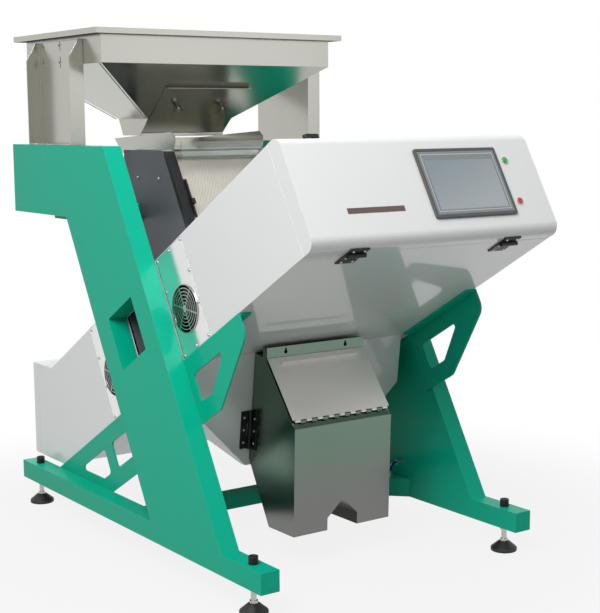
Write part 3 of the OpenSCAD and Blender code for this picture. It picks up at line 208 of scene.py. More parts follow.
def soft_light(name, place, target, size, power):
    data = bpy.data.lights.new(name, "AREA")
    data.shape = "RECTANGLE"
    data.size, data.size_y = size
    data.energy = power
    light = bpy.data.objects.new(name, data)
    bpy.context.scene.collection.objects.link(light)
    aim = (Vector(target) - Vector(place)).to_track_quat("-Z", "Y")
    light.matrix_world = Matrix.Translation(place) @ aim.to_matrix().to_4x4()


def background_ray(tree):
    """One for rays that see the background: from the camera, a mirror or through glass."""
    path = tree.nodes.new("ShaderNodeLightPath").outputs
    first = calc(tree, "MAXIMUM", path["Is Camera Ray"], path["Is Glossy Ray"])
    return calc(tree, "MAXIMUM", first, path["Is Transmission Ray"])


def mix_into(tree, out, factor, first, second):
    """Mixes two shaders into an output node."""
    mix = tree.nodes.new("ShaderNodeMixShader")
    for socket, value in zip(mix.inputs, (factor, first.outputs[0], second.outputs[0])):
        tree.links.new(value, socket)
    tree.links.new(mix.outputs[0], out.inputs[0])


def make_world():
    world = bpy.data.worlds.new("studio")
    bpy.context.scene.world = world
    world.use_nodes = True
    tree = world.node_tree
    tree.nodes.clear()
    sheets = []
    for colour, strength in ((WORLD_TINT, WORLD_LIGHT), (WHITE, WORLD_SEEN)):
        sheet = tree.nodes.new("ShaderNodeBackground")
        sheet.inputs["Color"].default_value = colour
        sheet.inputs["Strength"].default_value = strength
        sheets.append(sheet)
    mix_into(tree, tree.nodes.new("ShaderNodeOutputWorld"), background_ray(tree), *sheets)


def make_floor():
    """Pale floor that goes white away from the machine and keeps the shadow under it."""
    mesh = bpy.data.meshes.new("floor")
    h = FLOOR_HALF
    mesh.from_pydata([(-h, -h, 0), (h, -h, 0), (h, h, 0), (-h, h, 0)], [], [(0, 1, 2, 3)])
    floor = bpy.data.objects.new("floor", mesh)
    bpy.context.scene.collection.objects.link(floor)
    material = bpy.data.materials.new("pale_floor")
    material.use_nodes = True
    tree = material.node_tree
    tree.nodes.clear()
    diffuse = tree.nodes.new("ShaderNodeBsdfDiffuse")
    diffuse.inputs["Color"].default_value = FLOOR_TONE
    glow = tree.nodes.new("ShaderNodeEmission")
    glow.inputs["Color"].default_value = WHITE
    glow.inputs["Strength"].default_value = 1
    away = tree.nodes.new("ShaderNodeVectorMath")
    away.operation = "LENGTH"
    tree.links.new(own_place(tree)["Object"], away.inputs[0])
    fade = ramp(tree, away.outputs["Value"], *FLOOR_SHADOW, low=FLOOR_WHITE, smooth=True)
    seen = calc(tree, "MULTIPLY", background_ray(tree), fade)
    mix_into(tree, tree.nodes.new("ShaderNodeOutputMaterial"), seen, diffuse, glow)
    mesh.materials.append(material)


# Shader node groups: effects that several finishes share

NUMBER, COLOUR = "NodeSocketFloat", "NodeSocketColor"
EDGE_SAMPLES = 4
FINE_GLOSS = 38.0
GRIME_SHADE_PATCH = 60.0
WEAR_PATCH = 24.0
WEAR_GAIN = 6.0
SCRATCH = (9, 900, 900)
STAIN_SIZE = 7.0
STAIN_GLOSS = 0.6
SCRATCH_TINT = 0.8


def new_group(name, inputs, outputs):
    """Empty group with named sockets; returns the tree, its given values and its results."""
    tree = bpy.data.node_groups.new(name, "ShaderNodeTree")
    for label, kind, value in inputs:
        socket = tree.interface.new_socket(name=label, in_out="INPUT", socket_type=kind)
        socket.default_value = value
    for label, kind in outputs:
        tree.interface.new_socket(name=label, in_out="OUTPUT", socket_type=kind)
    given = tree.nodes.new("NodeGroupInput").outputs
    return tree, given, tree.nodes.new("NodeGroupOutput").inputs


def cloudy_group():
    """Slow drift of a colour and of its gloss over a large sheet."""
    tree, given, out = new_group("cloudy_coat", [
        ("Color", COLOUR, WHITE), ("Scale", NUMBER, 3.0), ("Drift", NUMBER, 0.1),
        ("Gloss", NUMBER, 0.3), ("Gloss Drift", NUMBER, 0.1),
    ], [("Color", COLOUR), ("Roughness", NUMBER)])
    swing = centred(tree, noise_at(tree, given["Scale"]))
    factor = calc(tree, "ADD", calc(tree, "MULTIPLY", swing, given["Drift"]), 1.0)
    tree.links.new(scale_colour(tree, given["Color"], factor), out["Color"])
    both = calc(tree, "ADD", swing, centred(tree, noise_at(tree, FINE_GLOSS)))
    rough = calc(tree, "MULTIPLY", both, given["Gloss Drift"])
    tree.links.new(calc(tree, "ADD", rough, given["Gloss"]), out["Roughness"])
    return tree


def corner_grime_shade_group():
    """Grime and painted shade that gather where faces meet, and thin out on open faces."""
    tree, given, out = new_group("corner_grime_shade", [
        ("Color", COLOUR, WHITE), ("Dust", COLOUR, (0.2, 0.19, 0.17, 1)),
        ("Reach", NUMBER, 0.02), ("Amount", NUMBER, 0.5),
    ], [("Color", COLOUR)])
    # Painted shade: the colour darkens towards the given tone where the AO node finds other faces
    # near, broken up by noise like grime
    occlusion = tree.nodes.new("ShaderNodeAmbientOcclusion")
    occlusion.samples = EDGE_SAMPLES
    tree.links.new(given["Reach"], occlusion.inputs["Distance"])
    hidden = calc(tree, "SUBTRACT", 1.0, occlusion.outputs["AO"])
    broken = calc(tree, "MULTIPLY", hidden, noise_at(tree, GRIME_SHADE_PATCH))
    mask = calc(tree, "MULTIPLY", broken, given["Amount"])
    tree.links.new(blend_colour(tree, mask, given["Color"], given["Dust"]), out["Color"])
    return tree


def edge_wear_group():
    """Paint rubbed thin along outer edges."""
    tree, given, out = new_group("edge_wear", [
        ("Color", COLOUR, WHITE), ("Worn", COLOUR, WHITE),
        ("Width", NUMBER, 0.003), ("Amount", NUMBER, 0.4),
    ], [("Color", COLOUR)])
    bevel = tree.nodes.new("ShaderNodeBevel")
    bevel.samples = EDGE_SAMPLES
    tree.links.new(given["Width"], bevel.inputs["Radius"])
    surface = tree.nodes.new("ShaderNodeNewGeometry")
    dot = tree.nodes.new("ShaderNodeVectorMath")
    dot.operation = "DOT_PRODUCT"
    tree.links.new(bevel.outputs["Normal"], dot.inputs[0])
    tree.links.new(surface.outputs["Normal"], dot.inputs[1])
    bent = calc(tree, "SUBTRACT", 1.0, dot.outputs["Value"])
    edge = calc(tree, "MULTIPLY", bent, WEAR_GAIN)
    patchy = calc(tree, "MULTIPLY", edge, noise_at(tree, WEAR_PATCH, 5.0))
    mask = tree.nodes.new("ShaderNodeClamp")
    tree.links.new(calc(tree, "MULTIPLY", patchy, given["Amount"]), mask.inputs["Value"])
    worn = blend_colour(tree, mask.outputs[0], given["Color"], given["Worn"])
    tree.links.new(worn, out["Color"])
    return tree


def skin_group():
    """Fine relief of a sprayed or moulded skin."""
    tree, given, out = new_group("fine_skin", [
        ("Grain", NUMBER, 700.0), ("Wave", NUMBER, 60.0), ("Share", NUMBER, 0.5),
    ], [("Height", NUMBER)])
    grain = noise_at(tree, given["Grain"], 2.0)
    wave = noise_at(tree, given["Wave"], 1.0)
    mixed = calc(tree, "ADD", calc(tree, "MULTIPLY", grain, given["Share"]), wave)
    tree.links.new(mixed, out["Height"])
    return tree


def brushed_group():
    """Long scratches along X on the sheet, with blotches left by handling."""
    tree, given, out = new_group("brushed_sheet", [
        ("Color", COLOUR, WHITE), ("Gloss", NUMBER, 0.25),
        ("Depth", NUMBER, 0.1), ("Blotch", NUMBER, 0.15),
    ], [("Color", COLOUR), ("Roughness", NUMBER), ("Height", NUMBER)])
    lines = noise_at(tree, 1.0, 4.0, stretch=SCRATCH)
    swing = centred(tree, lines)
    blotch = centred(tree, noise_at(tree, STAIN_SIZE, 4.0))
    stain = calc(tree, "MULTIPLY", blotch, given["Blotch"])
    rough = calc(tree, "ADD", calc(tree, "MULTIPLY", swing, given["Depth"]), given["Gloss"])
    stained = calc(tree, "ADD", rough, calc(tree, "MULTIPLY", stain, STAIN_GLOSS))
    tree.links.new(stained, out["Roughness"])
    tint = calc(tree, "MULTIPLY", swing, calc(tree, "MULTIPLY", given["Depth"], SCRATCH_TINT))
    factor = calc(tree, "ADD", tint, calc(tree, "ADD", stain, 1.0))
    tree.links.new(scale_colour(tree, given["Color"], factor), out["Color"])
    tree.links.new(lines, out["Height"])
    return tree


GROUPS = {
    "cloudy": cloudy_group(),
    "grime_and_shade": corner_grime_shade_group(),
    "wear": edge_wear_group(),
    "skin": skin_group(),
    "brushed": brushed_group(),
}


# Finishes

SCRATCH_DEPTH = 0.00006
WEAR_WIDTH = 0.0016
# Tones that grime and painted shade darken towards in corners, one for each kind of finish
PAINT_GRIME_SHADE = tone(74, 78, 72)
STEEL_GRIME_SHADE = tone(92, 88, 78)
HOOD_GRIME_SHADE = tone(60, 58, 52)
MOULD_GRIME_SHADE = tone(120, 118, 110)
ZINC_GRIME_SHADE = tone(60, 56, 48)
CHUTE_GRIME_SHADE = tone(110, 104, 92)
SCREEN_GRIME_SHADE = tone(90, 90, 88)


class Finish:
    """Material under construction: a Principled shader and the effects placed before it."""

    def __init__(self, name, colour, roughness, metallic=0.0, coat=0.0, coat_roughness=0.05):
        self.material = bpy.data.materials.new(name)
        self.material.use_nodes = True
        self.material.diffuse_color = colour
        self.tree = self.material.node_tree
        self.shader = self.tree.nodes["Principled BSDF"]
        self.set("Base Color", colour)
        self.set("Roughness", roughness)
        self.set("Metallic", metallic)
        self.set("Coat Weight", coat)
        self.set("Coat Roughness", coat_roughness)

    def set(self, socket, value):
        self.shader.inputs[socket].default_value = value

    def feed(self, output, socket):
        self.tree.links.new(output, self.shader.inputs[socket])

    def place(self, group, **values):
        """Places a shared effect; each value is a number, a colour or an output to link."""
        node = self.tree.nodes.new("ShaderNodeGroup")
        node.node_tree = GROUPS[group]
        for label, value in values.items():
            join(self.tree, value, node.inputs[label.replace("_", " ")])
        return node.outputs

    def cloud(self, colour, scale, drift, gloss, gloss_drift):
        """Lets colour and gloss drift; feeds the gloss and returns the colour."""
        cloudy = self.place("cloudy", Color=colour, Scale=scale, Drift=drift, Gloss=gloss,
                            Gloss_Drift=gloss_drift)
        self.feed(cloudy["Roughness"], "Roughness")
        return cloudy["Color"]

    def brush(self, colour, gloss, depth, blotch):
        """Scratches a sheet; feeds gloss and relief and returns the colour."""
        brushed = self.place("brushed", Color=colour, Gloss=gloss, Depth=depth, Blotch=blotch)
        self.feed(brushed["Roughness"], "Roughness")
        self.relief(brushed["Height"], SCRATCH_DEPTH)
        return brushed["Color"]

    def soil_and_shade(self, colour, grime_and_shade, reach, amount):
        """Lays grime and painted shade in corners over a colour and feeds it to the shader."""
        grimed_and_shaded = self.place("grime_and_shade", Color=colour, Dust=grime_and_shade, Reach=reach, Amount=amount)
        self.feed(grimed_and_shaded["Color"], "Base Color")

    def skin(self, grain, wave, share, depth):
        """Gives the surface a fine relief."""
        self.relief(self.place("skin", Grain=grain, Wave=wave, Share=share)["Height"], depth)

    def relief(self, height, distance):
        bump = self.tree.nodes.new("ShaderNodeBump")
        bump.inputs["Distance"].default_value = distance
        bump.inputs["Strength"].default_value = 1.0
        self.tree.links.new(height, bump.inputs["Height"])
        self.feed(bump.outputs["Normal"], "Normal")


def sprayed_paint(name, colour, roughness, coat, drift=0.06, grain=0.00012, wear=0.0,
                  grime_and_shade=0.5, shine=0.5):
    """Sprayed steel: slow drift, edges rubbed thin, grime and painted shade in corners and a fine
    peel.
    """
    finish = Finish(name, colour, roughness, coat=coat, coat_roughness=0.06)
    finish.set("Specular IOR Level", shine)
    tint = finish.cloud(colour, 2.6, drift, roughness, 0.08)
    if wear > 0:
        pale = tuple(0.7 * c + 0.25 for c in colour[:3]) + (1.0,)
        tint = finish.place("wear", Color=tint, Worn=pale, Width=WEAR_WIDTH, Amount=wear)["Color"]
    finish.soil_and_shade(tint, PAINT_GRIME_SHADE, 0.012, grime_and_shade)
    if grain > 0:
        finish.skin(420.0, 70.0, 0.5, grain)
    return finish.material


def bright_sheet(name, colour, gloss, depth, blotch, grime_and_shade=0.55):
    """Stainless sheet as rolled: scratches along X, handling blotches, grime and painted shade in
    folds.
    """
    finish = Finish(name, colour, gloss, metallic=1.0)
    finish.soil_and_shade(finish.brush(colour, gloss, depth, blotch), STEEL_GRIME_SHADE, 0.01, grime_and_shade)
    return finish.material


# Half width and height of the hood's notch, and the heights between which a painted green
# reflection comes in on its face
HOOD_NOTCH = (0.058, 0.095)
HOOD_GREEN_REFLECTION = (0.1, 0.26)
HOOD_GLOSS = 0.21


def hood_sheet(name, reflected_green, lower, inside):
    """Stainless hood: a painted green reflection comes in towards the top of its face, and
    painted shade darkens the roof of its notch.
    """
    finish = Finish(name, lower, HOOD_GLOSS, metallic=1.0)
    tree = finish.tree
    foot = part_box("outlet")[0].z
    place = own_place(tree)
    x, _, z = split(tree, place["Object"])
    # Painted green reflection: the face goes from the lower tone to the green one between these
    # heights
    rise = ramp(tree, z, foot + HOOD_GREEN_REFLECTION[0], foot + HOOD_GREEN_REFLECTION[1])
    face = blend_colour(tree, rise, lower, reflected_green)
    # Painted shade: the sideways faces of the notch's roof take the dark tone
    facing = split(tree, place["Normal"])[1]
    sideways = calc(tree, "LESS_THAN", calc(tree, "ABSOLUTE", facing), 0.5)
    notch = box_mask(tree, x, z, (0, foot), HOOD_NOTCH, 0.0005)
    shaded = blend_colour(tree, calc(tree, "MULTIPLY", notch, sideways), face, inside)
    finish.soil_and_shade(finish.brush(shaded, HOOD_GLOSS, 0.06, 0.1), HOOD_GRIME_SHADE, 0.01, 0.6)
    return finish.material


def moulded(name, colour, roughness, grain=520.0, depth=0.00025, coat=0.0, shine=0.5):
    """Moulded plastic or rubber with a fine grain."""
    finish = Finish(name, colour, roughness, coat=coat)
    finish.set("Specular IOR Level", shine)
    finish.soil_and_shade(finish.cloud(colour, 9.0, 0.25, roughness, 0.2), MOULD_GRIME_SHADE, 0.006, 0.35)
    finish.skin(grain, 90.0, 0.9, depth)
    return finish.material


def plated(name, colour, roughness):
    """Zinc plate with a faint cloudiness."""
    finish = Finish(name, colour, roughness, metallic=1.0)
    finish.soil_and_shade(finish.cloud(colour, 45.0, 0.35, roughness, 0.3), ZINC_GRIME_SHADE, 0.004, 0.6)
    return finish.material


def clear_sheet(name, colour, weight, grime_and_shade):
    """Clear plastic or glass, with a faint cloudiness and grime and painted shade where other
    faces are near.
    """
    finish = Finish(name, colour, 0.05)
    finish.set("Transmission Weight", weight)
    finish.set("IOR", 1.46)
    finish.soil_and_shade(finish.cloud(colour, 12.0, 0.2, 0.06, 0.12), grime_and_shade, 0.006, 0.3)
    return finish.material


FURROW_TURN = math.radians(24)
FURROW = {"Scale": 62.0, "Distortion": 3.2, "Detail": 2.0, "Detail Scale": 2.4}
FURROW_SHADE = 0.72
FURROW_DEPTH = 0.0006
CHUTE_GLOSS = 0.42


def ribbed_chute(name, colour):
    """Chute liner: a close pattern of slanting furrows in anodised sheet."""
    finish = Finish(name, colour, CHUTE_GLOSS, metallic=0.55)
    tree = finish.tree
    mapping = tree.nodes.new("ShaderNodeMapping")
    mapping.inputs["Rotation"].default_value = (0, 0, FURROW_TURN)
    tree.links.new(own_place(tree)["Object"], mapping.inputs["Vector"])
    furrow = tree.nodes.new("ShaderNodeTexWave")
    for label, value in FURROW.items():
        furrow.inputs[label].default_value = value
    tree.links.new(mapping.outputs["Vector"], furrow.inputs["Vector"])
    low = tuple(FURROW_SHADE * c for c in colour[:3]) + (1,)
    shade = blend_colour(tree, furrow.outputs["Fac"], low, colour)
    finish.soil_and_shade(finish.cloud(shade, 11.0, 0.3, CHUTE_GLOSS, 0.25), CHUTE_GRIME_SHADE, 0.02, 0.8)
    finish.relief(furrow.outputs["Fac"], FURROW_DEPTH)
    return finish.material


# Screen: its middle, half sizes of its pane and of its thin line, the line's width
SCREEN_X = 0.139
SCREEN_AREA = (0.121, 0.073)
SCREEN_AREA_V = -0.006
SCREEN_AREA_SOFT = 0.0012
SCREEN_LINE = (0.1295, 0.0855)
SCREEN_LINE_W = 0.0016
SCREEN_LINE_SOFT = 0.0006
# Painted sheen across the pane: the span over which it grades, and its slant
SCREEN_SHEEN = (-0.09, 0.09)
SCREEN_SLANT = -0.4


def unlit_screen(name):
    """Sleeping touch screen: a grey printed margin, a thin line and a bluish dark pane with a
    painted sheen, lighter towards the lower right.
    """
    finish = Finish(name, tone(128, 138, 145), 0.16, coat=0.4, coat_roughness=0.04)
    tree = finish.tree
    mapping = tree.nodes.new("ShaderNodeMapping")
    mapping.inputs["Rotation"].default_value = (LEAN, 0, 0)
    turned = Matrix.Rotation(LEAN, 3, "X") @ Vector((0, SORT_Y, SORT_Z))
    mapping.inputs["Location"].default_value = -turned
    tree.links.new(own_place(tree)["Object"], mapping.inputs["Vector"])
    x, _, v = split(tree, mapping.outputs["Vector"])
    middle = (SCREEN_X, 0)
    within = tuple(half - SCREEN_LINE_W for half in SCREEN_LINE)
    pane = box_mask(tree, x, v, (SCREEN_X, SCREEN_AREA_V), SCREEN_AREA, SCREEN_AREA_SOFT)
    outer = box_mask(tree, x, v, middle, SCREEN_LINE, SCREEN_LINE_SOFT)
    inner = box_mask(tree, x, v, middle, within, SCREEN_LINE_SOFT)
    line = calc(tree, "SUBTRACT", outer, inner)
    # Painted sheen: the pane grades from light at the lower right to darker at the top left
    across = calc(tree, "MULTIPLY", calc(tree, "SUBTRACT", x, SCREEN_X), SCREEN_SLANT)
    sheen = ramp(tree, calc(tree, "ADD", v, across), *SCREEN_SHEEN)
    pane_tone = blend_colour(tree, sheen, tone(164, 174, 177), tone(132, 146, 152))
    margin = blend_colour(tree, pane, tone(126, 134, 137), pane_tone)
    lined = blend_colour(tree, line, margin, tone(206, 211, 213))
    finish.soil_and_shade(lined, SCREEN_GRIME_SHADE, 0.003, 0.4)
    return finish.material


# How each finish is made: its maker, and what that maker is given after the name
RECIPES = {
    "green_paint": (sprayed_paint, (tone(0, 184, 150), 0.4, 0.08),
                    dict(drift=0.1, wear=0.35, shine=0.12)),
    "white_paint": (sprayed_paint, (tone(234, 235, 235), 0.42, 0.8),
                    dict(drift=0.03, grain=0.0, grime_and_shade=0.35)),
    "stainless": (bright_sheet, (tone(178, 178, 170), 0.22, 0.04, 0.08), {}),
    "polished_sheet": (bright_sheet, (tone(222, 223, 222), 0.1, 0.05, 0.05), dict(grime_and_shade=0.3)),
    "chute_steel": (ribbed_chute, (tone(196, 192, 182),), {}),
    "grey_sheet": (sprayed_paint, (tone(96, 95, 102), 0.42, 0.0), dict(drift=0.12, shine=0.3)),
    # Hood and lid are lit and shaded copies of one stainless sheet: the lid is painted light, the
    # hood's face painted darker as shade, with a painted green reflection at its top and painted
    # shade in its notch
    "hood_steel": (hood_sheet, (tone(108, 128, 115), tone(122, 122, 121), tone(46, 46, 44)), {}),
    "lid_steel": (bright_sheet, (tone(206, 205, 201), 0.42, 0.08, 0.1), {}),
    "zinc": (plated, (tone(186, 186, 182), 0.3), {}),
    "worn_zinc": (plated, (tone(98, 96, 88), 0.36), {}),
    "black_plastic": (moulded, (tone(17, 17, 18), 0.4), dict(shine=0.3)),
    "foot_rubber": (moulded, (tone(24, 24, 24), 0.5), dict(grain=300.0, depth=0.0004)),
    "camera_body": (moulded, (tone(44, 44, 47), 0.4), {}),
    "lamp_tube": (moulded, (tone(236, 236, 228), 0.25), dict(coat=0.4)),
    "valve_block": (plated, (tone(168, 172, 178), 0.38), {}),
    "window_glass": (clear_sheet, (tone(232, 243, 242), 0.9, tone(180, 180, 172)), {}),
    "clear_plastic": (clear_sheet, (tone(236, 241, 241), 0.92, tone(190, 190, 182)), {}),
    "feeder_iron": (sprayed_paint, (tone(92, 112, 136), 0.5, 0.1), dict(drift=0.15, wear=0.4)),
    "spring_leaf": (moulded, (tone(150, 112, 70), 0.5), {}),
    "blue_hose": (moulded, (tone(20, 42, 168), 0.3), dict(coat=0.4)),
    "panel_bezel": (moulded, (tone(76, 76, 72), 0.4), {}),
    "panel_screen": (unlit_screen, (), {}),
    "strip_lens": (moulded, (tone(88, 62, 58), 0.22), dict(depth=0.0001, coat=0.6)),
    "start_green": (moulded, (tone(0, 176, 46), 0.25), dict(depth=0.00008, coat=0.3)),
    "stop_red": (moulded, (tone(206, 24, 20), 0.25), dict(depth=0.00008, coat=0.3)),
}
FINISHES = {name: make(name, *given, **more) for name, (make, given, more) in RECIPES.items()}


# Imported solids: each takes its finish, and broken edges where sheet is folded or cut

# Pieces whose finish differs from the rest of their slot; the hood and its lid differ by painted
# light and shade
OWN_FINISH = {
    "outlet": "hood_steel", "outlet_lid": "lid_steel",
    "gate_nut_left": "worn_zinc", "gate_nut_right": "worn_zinc",
}
# Width of the broken edges, and the pieces that have it
EDGES = {
    0.0035: ["left_frame", "right_frame"],
    0.002: ["cross_beam", "feeder_deck", "feeder_base", "cameras"],
    0.0012: ["front_box", "rear_box", "front_door", "rear_door", "front_brackets",
             "rear_brackets", "hmi_bezel"],
    0.0008: ["hopper", "hopper_legs", "hopper_gate", "outlet", "outlet_lid", "feeder_tray",
             "chute_lip", "chamber", "fan_panels", "funnel", "chute_cheeks", "chute_rails",
             "door_latch", "foot_caps", "chute_clip"],
    0.0005: ["door_hinge_flaps", "hinge_leaves", "rear_hinge_flaps", "outlet_hinge_flap",
             "foot_studs", "gate_nut_left", "gate_nut_right", "panel_screws", "start_button",
             "stop_button", "button_bezels"],
}
WELD_GAP = 0.00001
FLAT_ANGLE = math.radians(0.4)
SHARP_ANGLE = math.radians(35)
EDGE_STEPS = 2
FLAT_WEIGHT = 60
HOSE_LEVELS = 2


def shade_smooth(piece):
    """Shades a solid smooth and joins its faces at their common points."""
    mesh = piece.data
    mesh.polygons.foreach_set("use_smooth", [True] * len(mesh.polygons))
    if "custom_normal" in mesh.attributes:
        mesh.attributes.remove(mesh.attributes["custom_normal"])
    piece.modifiers.new("weld", "WELD").merge_threshold = WELD_GAP


def break_edges(piece, width):
    """Rounds the solid's sharp edges and shades its curved faces smooth."""
    shade_smooth(piece)
    flat = piece.modifiers.new("flat", "DECIMATE")
    flat.decimate_type = "DISSOLVE"
    flat.angle_limit = FLAT_ANGLE
    edge = piece.modifiers.new("edge", "BEVEL")
    edge.width = width
    edge.segments = EDGE_STEPS
    edge.limit_method = "ANGLE"
    edge.angle_limit = SHARP_ANGLE
    piece.modifiers.new("shade", "WEIGHTED_NORMAL").weight = FLAT_WEIGHT


def dress_solids():
    slots = {row["node"]: row["material_slot"] for row in frame["record"]["subparts"]}
    for name, piece in nodes.items():
        piece.data.materials.clear()
        piece.data.materials.append(FINISHES[OWN_FINISH.get(name, slots[name])])
    for width, names in EDGES.items():
        for name in names:
            break_edges(nodes[name], width)


def smooth_hose():
    """Rounds the hose's flat sides."""
    hose = nodes["air_hose"]
    shade_smooth(hose)
    round_off = hose.modifiers.new("round", "SUBSURF")
    round_off.levels = HOSE_LEVELS
    round_off.render_levels = HOSE_LEVELS


# Small pieces that the solids don't hold

def keep(name, bm, slot, body):
    """Puts a finished mesh into the scene with a finish, on a body."""
    mesh = bpy.data.meshes.new(name)
    bm.to_mesh(mesh)
    bm.free()
    piece = bpy.data.objects.new(name, mesh)
    bpy.context.scene.collection.objects.link(piece)
    mesh.materials.append(FINISHES[slot])
    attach(piece, body)


def frame_along(place, normal):
    """Frame at a place whose +Z runs along a direction."""
    turn = Vector(normal).normalized().to_track_quat("Z", "Y").to_matrix()
    return Matrix.Translation(place) @ turn.to_4x4()


def turned_skin(bm, frame_at, rings, sides):
    """Skin through rings given by radius and height in a frame; returns the end loops."""
    loops = []
    for radius, z in rings:
        loop = []
        for k in range(sides):
            a = 2 * math.pi * k / sides
            spot = Vector((radius * math.cos(a), radius * math.sin(a), z))
            loop.append(bm.verts.new(frame_at @ spot))
        loops.append(loop)
    for low, high in zip(loops, loops[1:]):
        for k in range(sides):
            j = (k + 1) % sides
            bm.faces.new((low[k], low[j], high[j], high[k])).smooth = True
    return loops[0], loops[-1]


# Rings of a screw head, in shares of its radius and of its height
SCREW_RINGS = ((1, 0), (1, 0.35), (0.92, 0.72), (0.72, 0.95), (0.5, 1), (0.46, 0.45))
SCREW_RISE = 0.38
SCREW_SIDES = 24


def screw_head(bm, place, normal, size):
    """Pan head with a rounded rim and a round socket, added to a mesh."""
    r, h = size / 2, SCREW_RISE * size
    rings = [(out * r, up * h) for out, up in SCREW_RINGS]
    first, last = turned_skin(bm, frame_along(place, normal), rings, SCREW_SIDES)
    bm.faces.new(last)
    bm.faces.new(list(reversed(first)))


def screw_row(name, places, normal, size, body):
    bm = bmesh.new()
    for place in places:
        screw_head(bm, place, normal, size)
    keep(name, bm, "zinc", body)


BEAD_STEP = 0.004
BEAD_SIDES = 8
BEAD_TIP = 0.4
# Ripples of a weld seam: share of its radius, and turn from one step to the next
BEAD_RIPPLES = ((0.16, 2.4), (0.08, 0.7))


def weld_bead(name, start, end, radius, slot, body):
    """Rippled weld seam between two points."""
    start, end = Vector(start), Vector(end)
    length = (end - start).length
    count = max(3, int(length / BEAD_STEP))
    rings = []
    for i in range(count + 1):
        swell = radius * (1 + sum(share * math.sin(turn * i) for share, turn in BEAD_RIPPLES))
        rings.append((BEAD_TIP * radius if i in (0, count) else swell, length * i / count))
    bm = bmesh.new()
    first, last = turned_skin(bm, frame_along(start, end - start), rings, BEAD_SIDES)
    bm.faces.new(list(reversed(first)))
    bm.faces.new(last)
    keep(name, bm, slot, body)


HINGE_SCREW = 0.007
LEAF_PROUD = 0.004
# Places of the screws in a hinge: from the hinge's middle, and from the seam on each leaf
SCREW_OFF = (-0.018, 0.018)
DOOR_LEAF = 0.017
BOX_LEAF = (0.02, 0.044)
FRONT_HINGE_X = (-0.265, 0.265)
FRONT_SEAM_U = -0.85675
FRONT_LEAF_V = -0.160
REAR_SEAM = 0.78175
REAR_FACE_X = 0.424
REAR_HINGE_Z = (0.223, 0.404)
OUTLET_TILT = math.radians(7.1)
OUTLET_PIN = Vector((-0.186, -0.1813, 0.386))
OUTLET_SCREW_H = (0.039, 0.0, -0.039)
OUTLET_FLAP_X = 0.005
OUTLET_LEAF = 0.018


def front_hinge_screws():
    """Screws in the leaves of the front door's hinges, on the box and on the door."""
    under = lean_way(0, 0, -1)
    leaf_v = FRONT_LEAF_V - LEAF_PROUD
    fixed, moving = [], []
    for x in (middle + off for middle in FRONT_HINGE_X for off in SCREW_OFF):
        moving.append(lean_point(x, FRONT_SEAM_U - DOOR_LEAF, leaf_v))
        fixed += [lean_point(x, FRONT_SEAM_U + back, leaf_v) for back in BOX_LEAF]
    screw_row("front_hinge_door_screws", moving, under, HINGE_SCREW, "front_door")
    screw_row("front_hinge_box_screws", fixed, under, HINGE_SCREW, "stand")


def rear_hinge_screws():
    """Screws in the leaves of the rear door's hinges."""
    face_x = REAR_FACE_X + LEAF_PROUD
    heights = [z + off for z in REAR_HINGE_Z for off in SCREW_OFF]
    for name, dy, body in (("rear_hinge_box_screws", -DOOR_LEAF, "stand"),
                           ("rear_hinge_door_screws", DOOR_LEAF, "rear_door")):
        places = [Vector((face_x, SORT_Y + REAR_SEAM + dy, z)) for z in heights]
        screw_row(name, places, (1, 0, 0), HINGE_SCREW, body)


def outlet_hinge_screws():
    """Three screws in each leaf of the outlet's hinge."""
    turn = Matrix.Rotation(OUTLET_TILT, 3, "X")
    fixed = [OUTLET_PIN + turn @ Vector((-OUTLET_LEAF, LEAF_PROUD, h)) for h in OUTLET_SCREW_H]
    moving = [OUTLET_PIN + turn @ Vector((OUTLET_FLAP_X, -OUTLET_LEAF, h))
              for h in OUTLET_SCREW_H]
    ahead = turn @ Vector((0, -1, 0))
    screw_row("outlet_hinge_funnel_screws", fixed, ahead, HINGE_SCREW, "stand")
    screw_row("outlet_hinge_hood_screws", moving, (-1, 0, 0), HINGE_SCREW, "outlet")


CHEEK_SCREW = 0.011
CHEEK_SCREW_Y = (0.325, 0.465)
CHEEK_SCREW_Z = 1.122


def cheek_screws():
    """Pan heads that hold the chute's cheeks."""
    for (side, word), corner in zip(SIDES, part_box("chute_cheeks")):
        places = [Vector((corner.x, y, CHEEK_SCREW_Z)) for y in CHEEK_SCREW_Y]
        screw_row("cheek_screws_" + word, places, (side, 0, 0), CHEEK_SCREW, "stand")


# Corners of the hopper's cone, at the skirt and at the spout: x, front and rear y, z
SKIRT = (0.4288, (0.26118, 0.80218), 1.483)
SPOUT = (0.162, (0.4609, 0.66518), 1.313)
SEAM_R = 0.0016
# Stitches along a leg's foot: radius, half length, height, shares of the leg's depth
STITCH_R = 0.0028
STITCH_HALF = 0.02
STITCH_RISE = 0.001
STITCH_FIRST = 0.14
STITCH_STEP = 0.36
STITCHES = 3


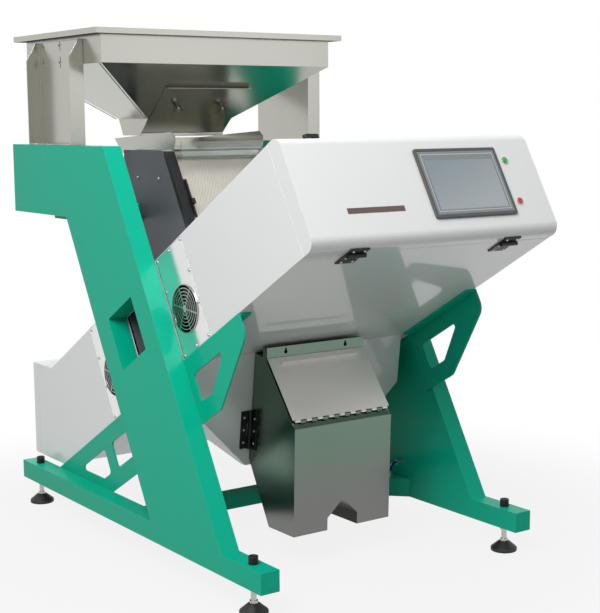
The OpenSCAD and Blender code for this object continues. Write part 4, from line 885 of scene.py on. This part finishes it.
def hopper_seams():
    """Weld seams down the cone's corners, and stitches that hold the legs to the arms."""
    legs_lo, legs_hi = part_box("hopper_legs")
    for side, word in SIDES:
        for k, end in enumerate(("front", "rear")):
            top, foot = [(side * x, ys[k], z) for x, ys, z in (SKIRT, SPOUT)]
            weld_bead("hopper_seam_%s_%s" % (end, word), top, foot, SEAM_R, "stainless", "stand")
    for side, word in SIDES:
        x, z = side * legs_hi.x, legs_lo.z + STITCH_RISE
        for k in range(STITCHES):
            y = legs_lo.y + (STITCH_FIRST + STITCH_STEP * k) * (legs_hi.y - legs_lo.y)
            weld_bead("leg_stitch_%s_%d" % (word, k), (x, y - STITCH_HALF, z),
                      (x, y + STITCH_HALF, z), STITCH_R, "zinc", "stand")


CAP_RIM_OUT = 0.0135
CAP_RIM_IN = 0.0075
CAP_RIM_H = 0.003
CAP_SHOULDER = 0.6 * CAP_RIM_H
CAP_ROUND = 0.001
CAP_SINK = -0.002
CAP_FLOOR = 0.0004
CAP_SIDES = 32


def cap_rims():
    """Raised rim round the dished top of each foot cap."""
    lo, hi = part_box("foot_caps")
    rings = [(CAP_RIM_OUT, CAP_SINK), (CAP_RIM_OUT, CAP_SHOULDER),
             (CAP_RIM_OUT - CAP_ROUND, CAP_RIM_H), (CAP_RIM_IN + CAP_ROUND, CAP_RIM_H),
             (CAP_RIM_IN, CAP_SHOULDER), (CAP_RIM_IN - CAP_ROUND, CAP_FLOOR)]
    bm = bmesh.new()
    for x in (lo.x + CAP_RIM_OUT, hi.x - CAP_RIM_OUT):
        for y in (lo.y + CAP_RIM_OUT, hi.y - CAP_RIM_OUT):
            dish = turned_skin(bm, Matrix.Translation((x, y, hi.z)), rings, CAP_SIDES)[1]
            bm.faces.new(dish)
    keep("foot_cap_rims", bm, "black_plastic", "stand")


make_camera()
make_world()
for lamp, settings in LAMPS.items():
    soft_light(lamp, *settings)
make_floor()
dress_solids()
smooth_hose()
front_hinge_screws()
rear_hinge_screws()
outlet_hinge_screws()
cheek_screws()
hopper_seams()
cap_rims()

scene = bpy.context.scene
scene.view_settings.view_transform = "Standard"

bpy.context.view_layer.update()
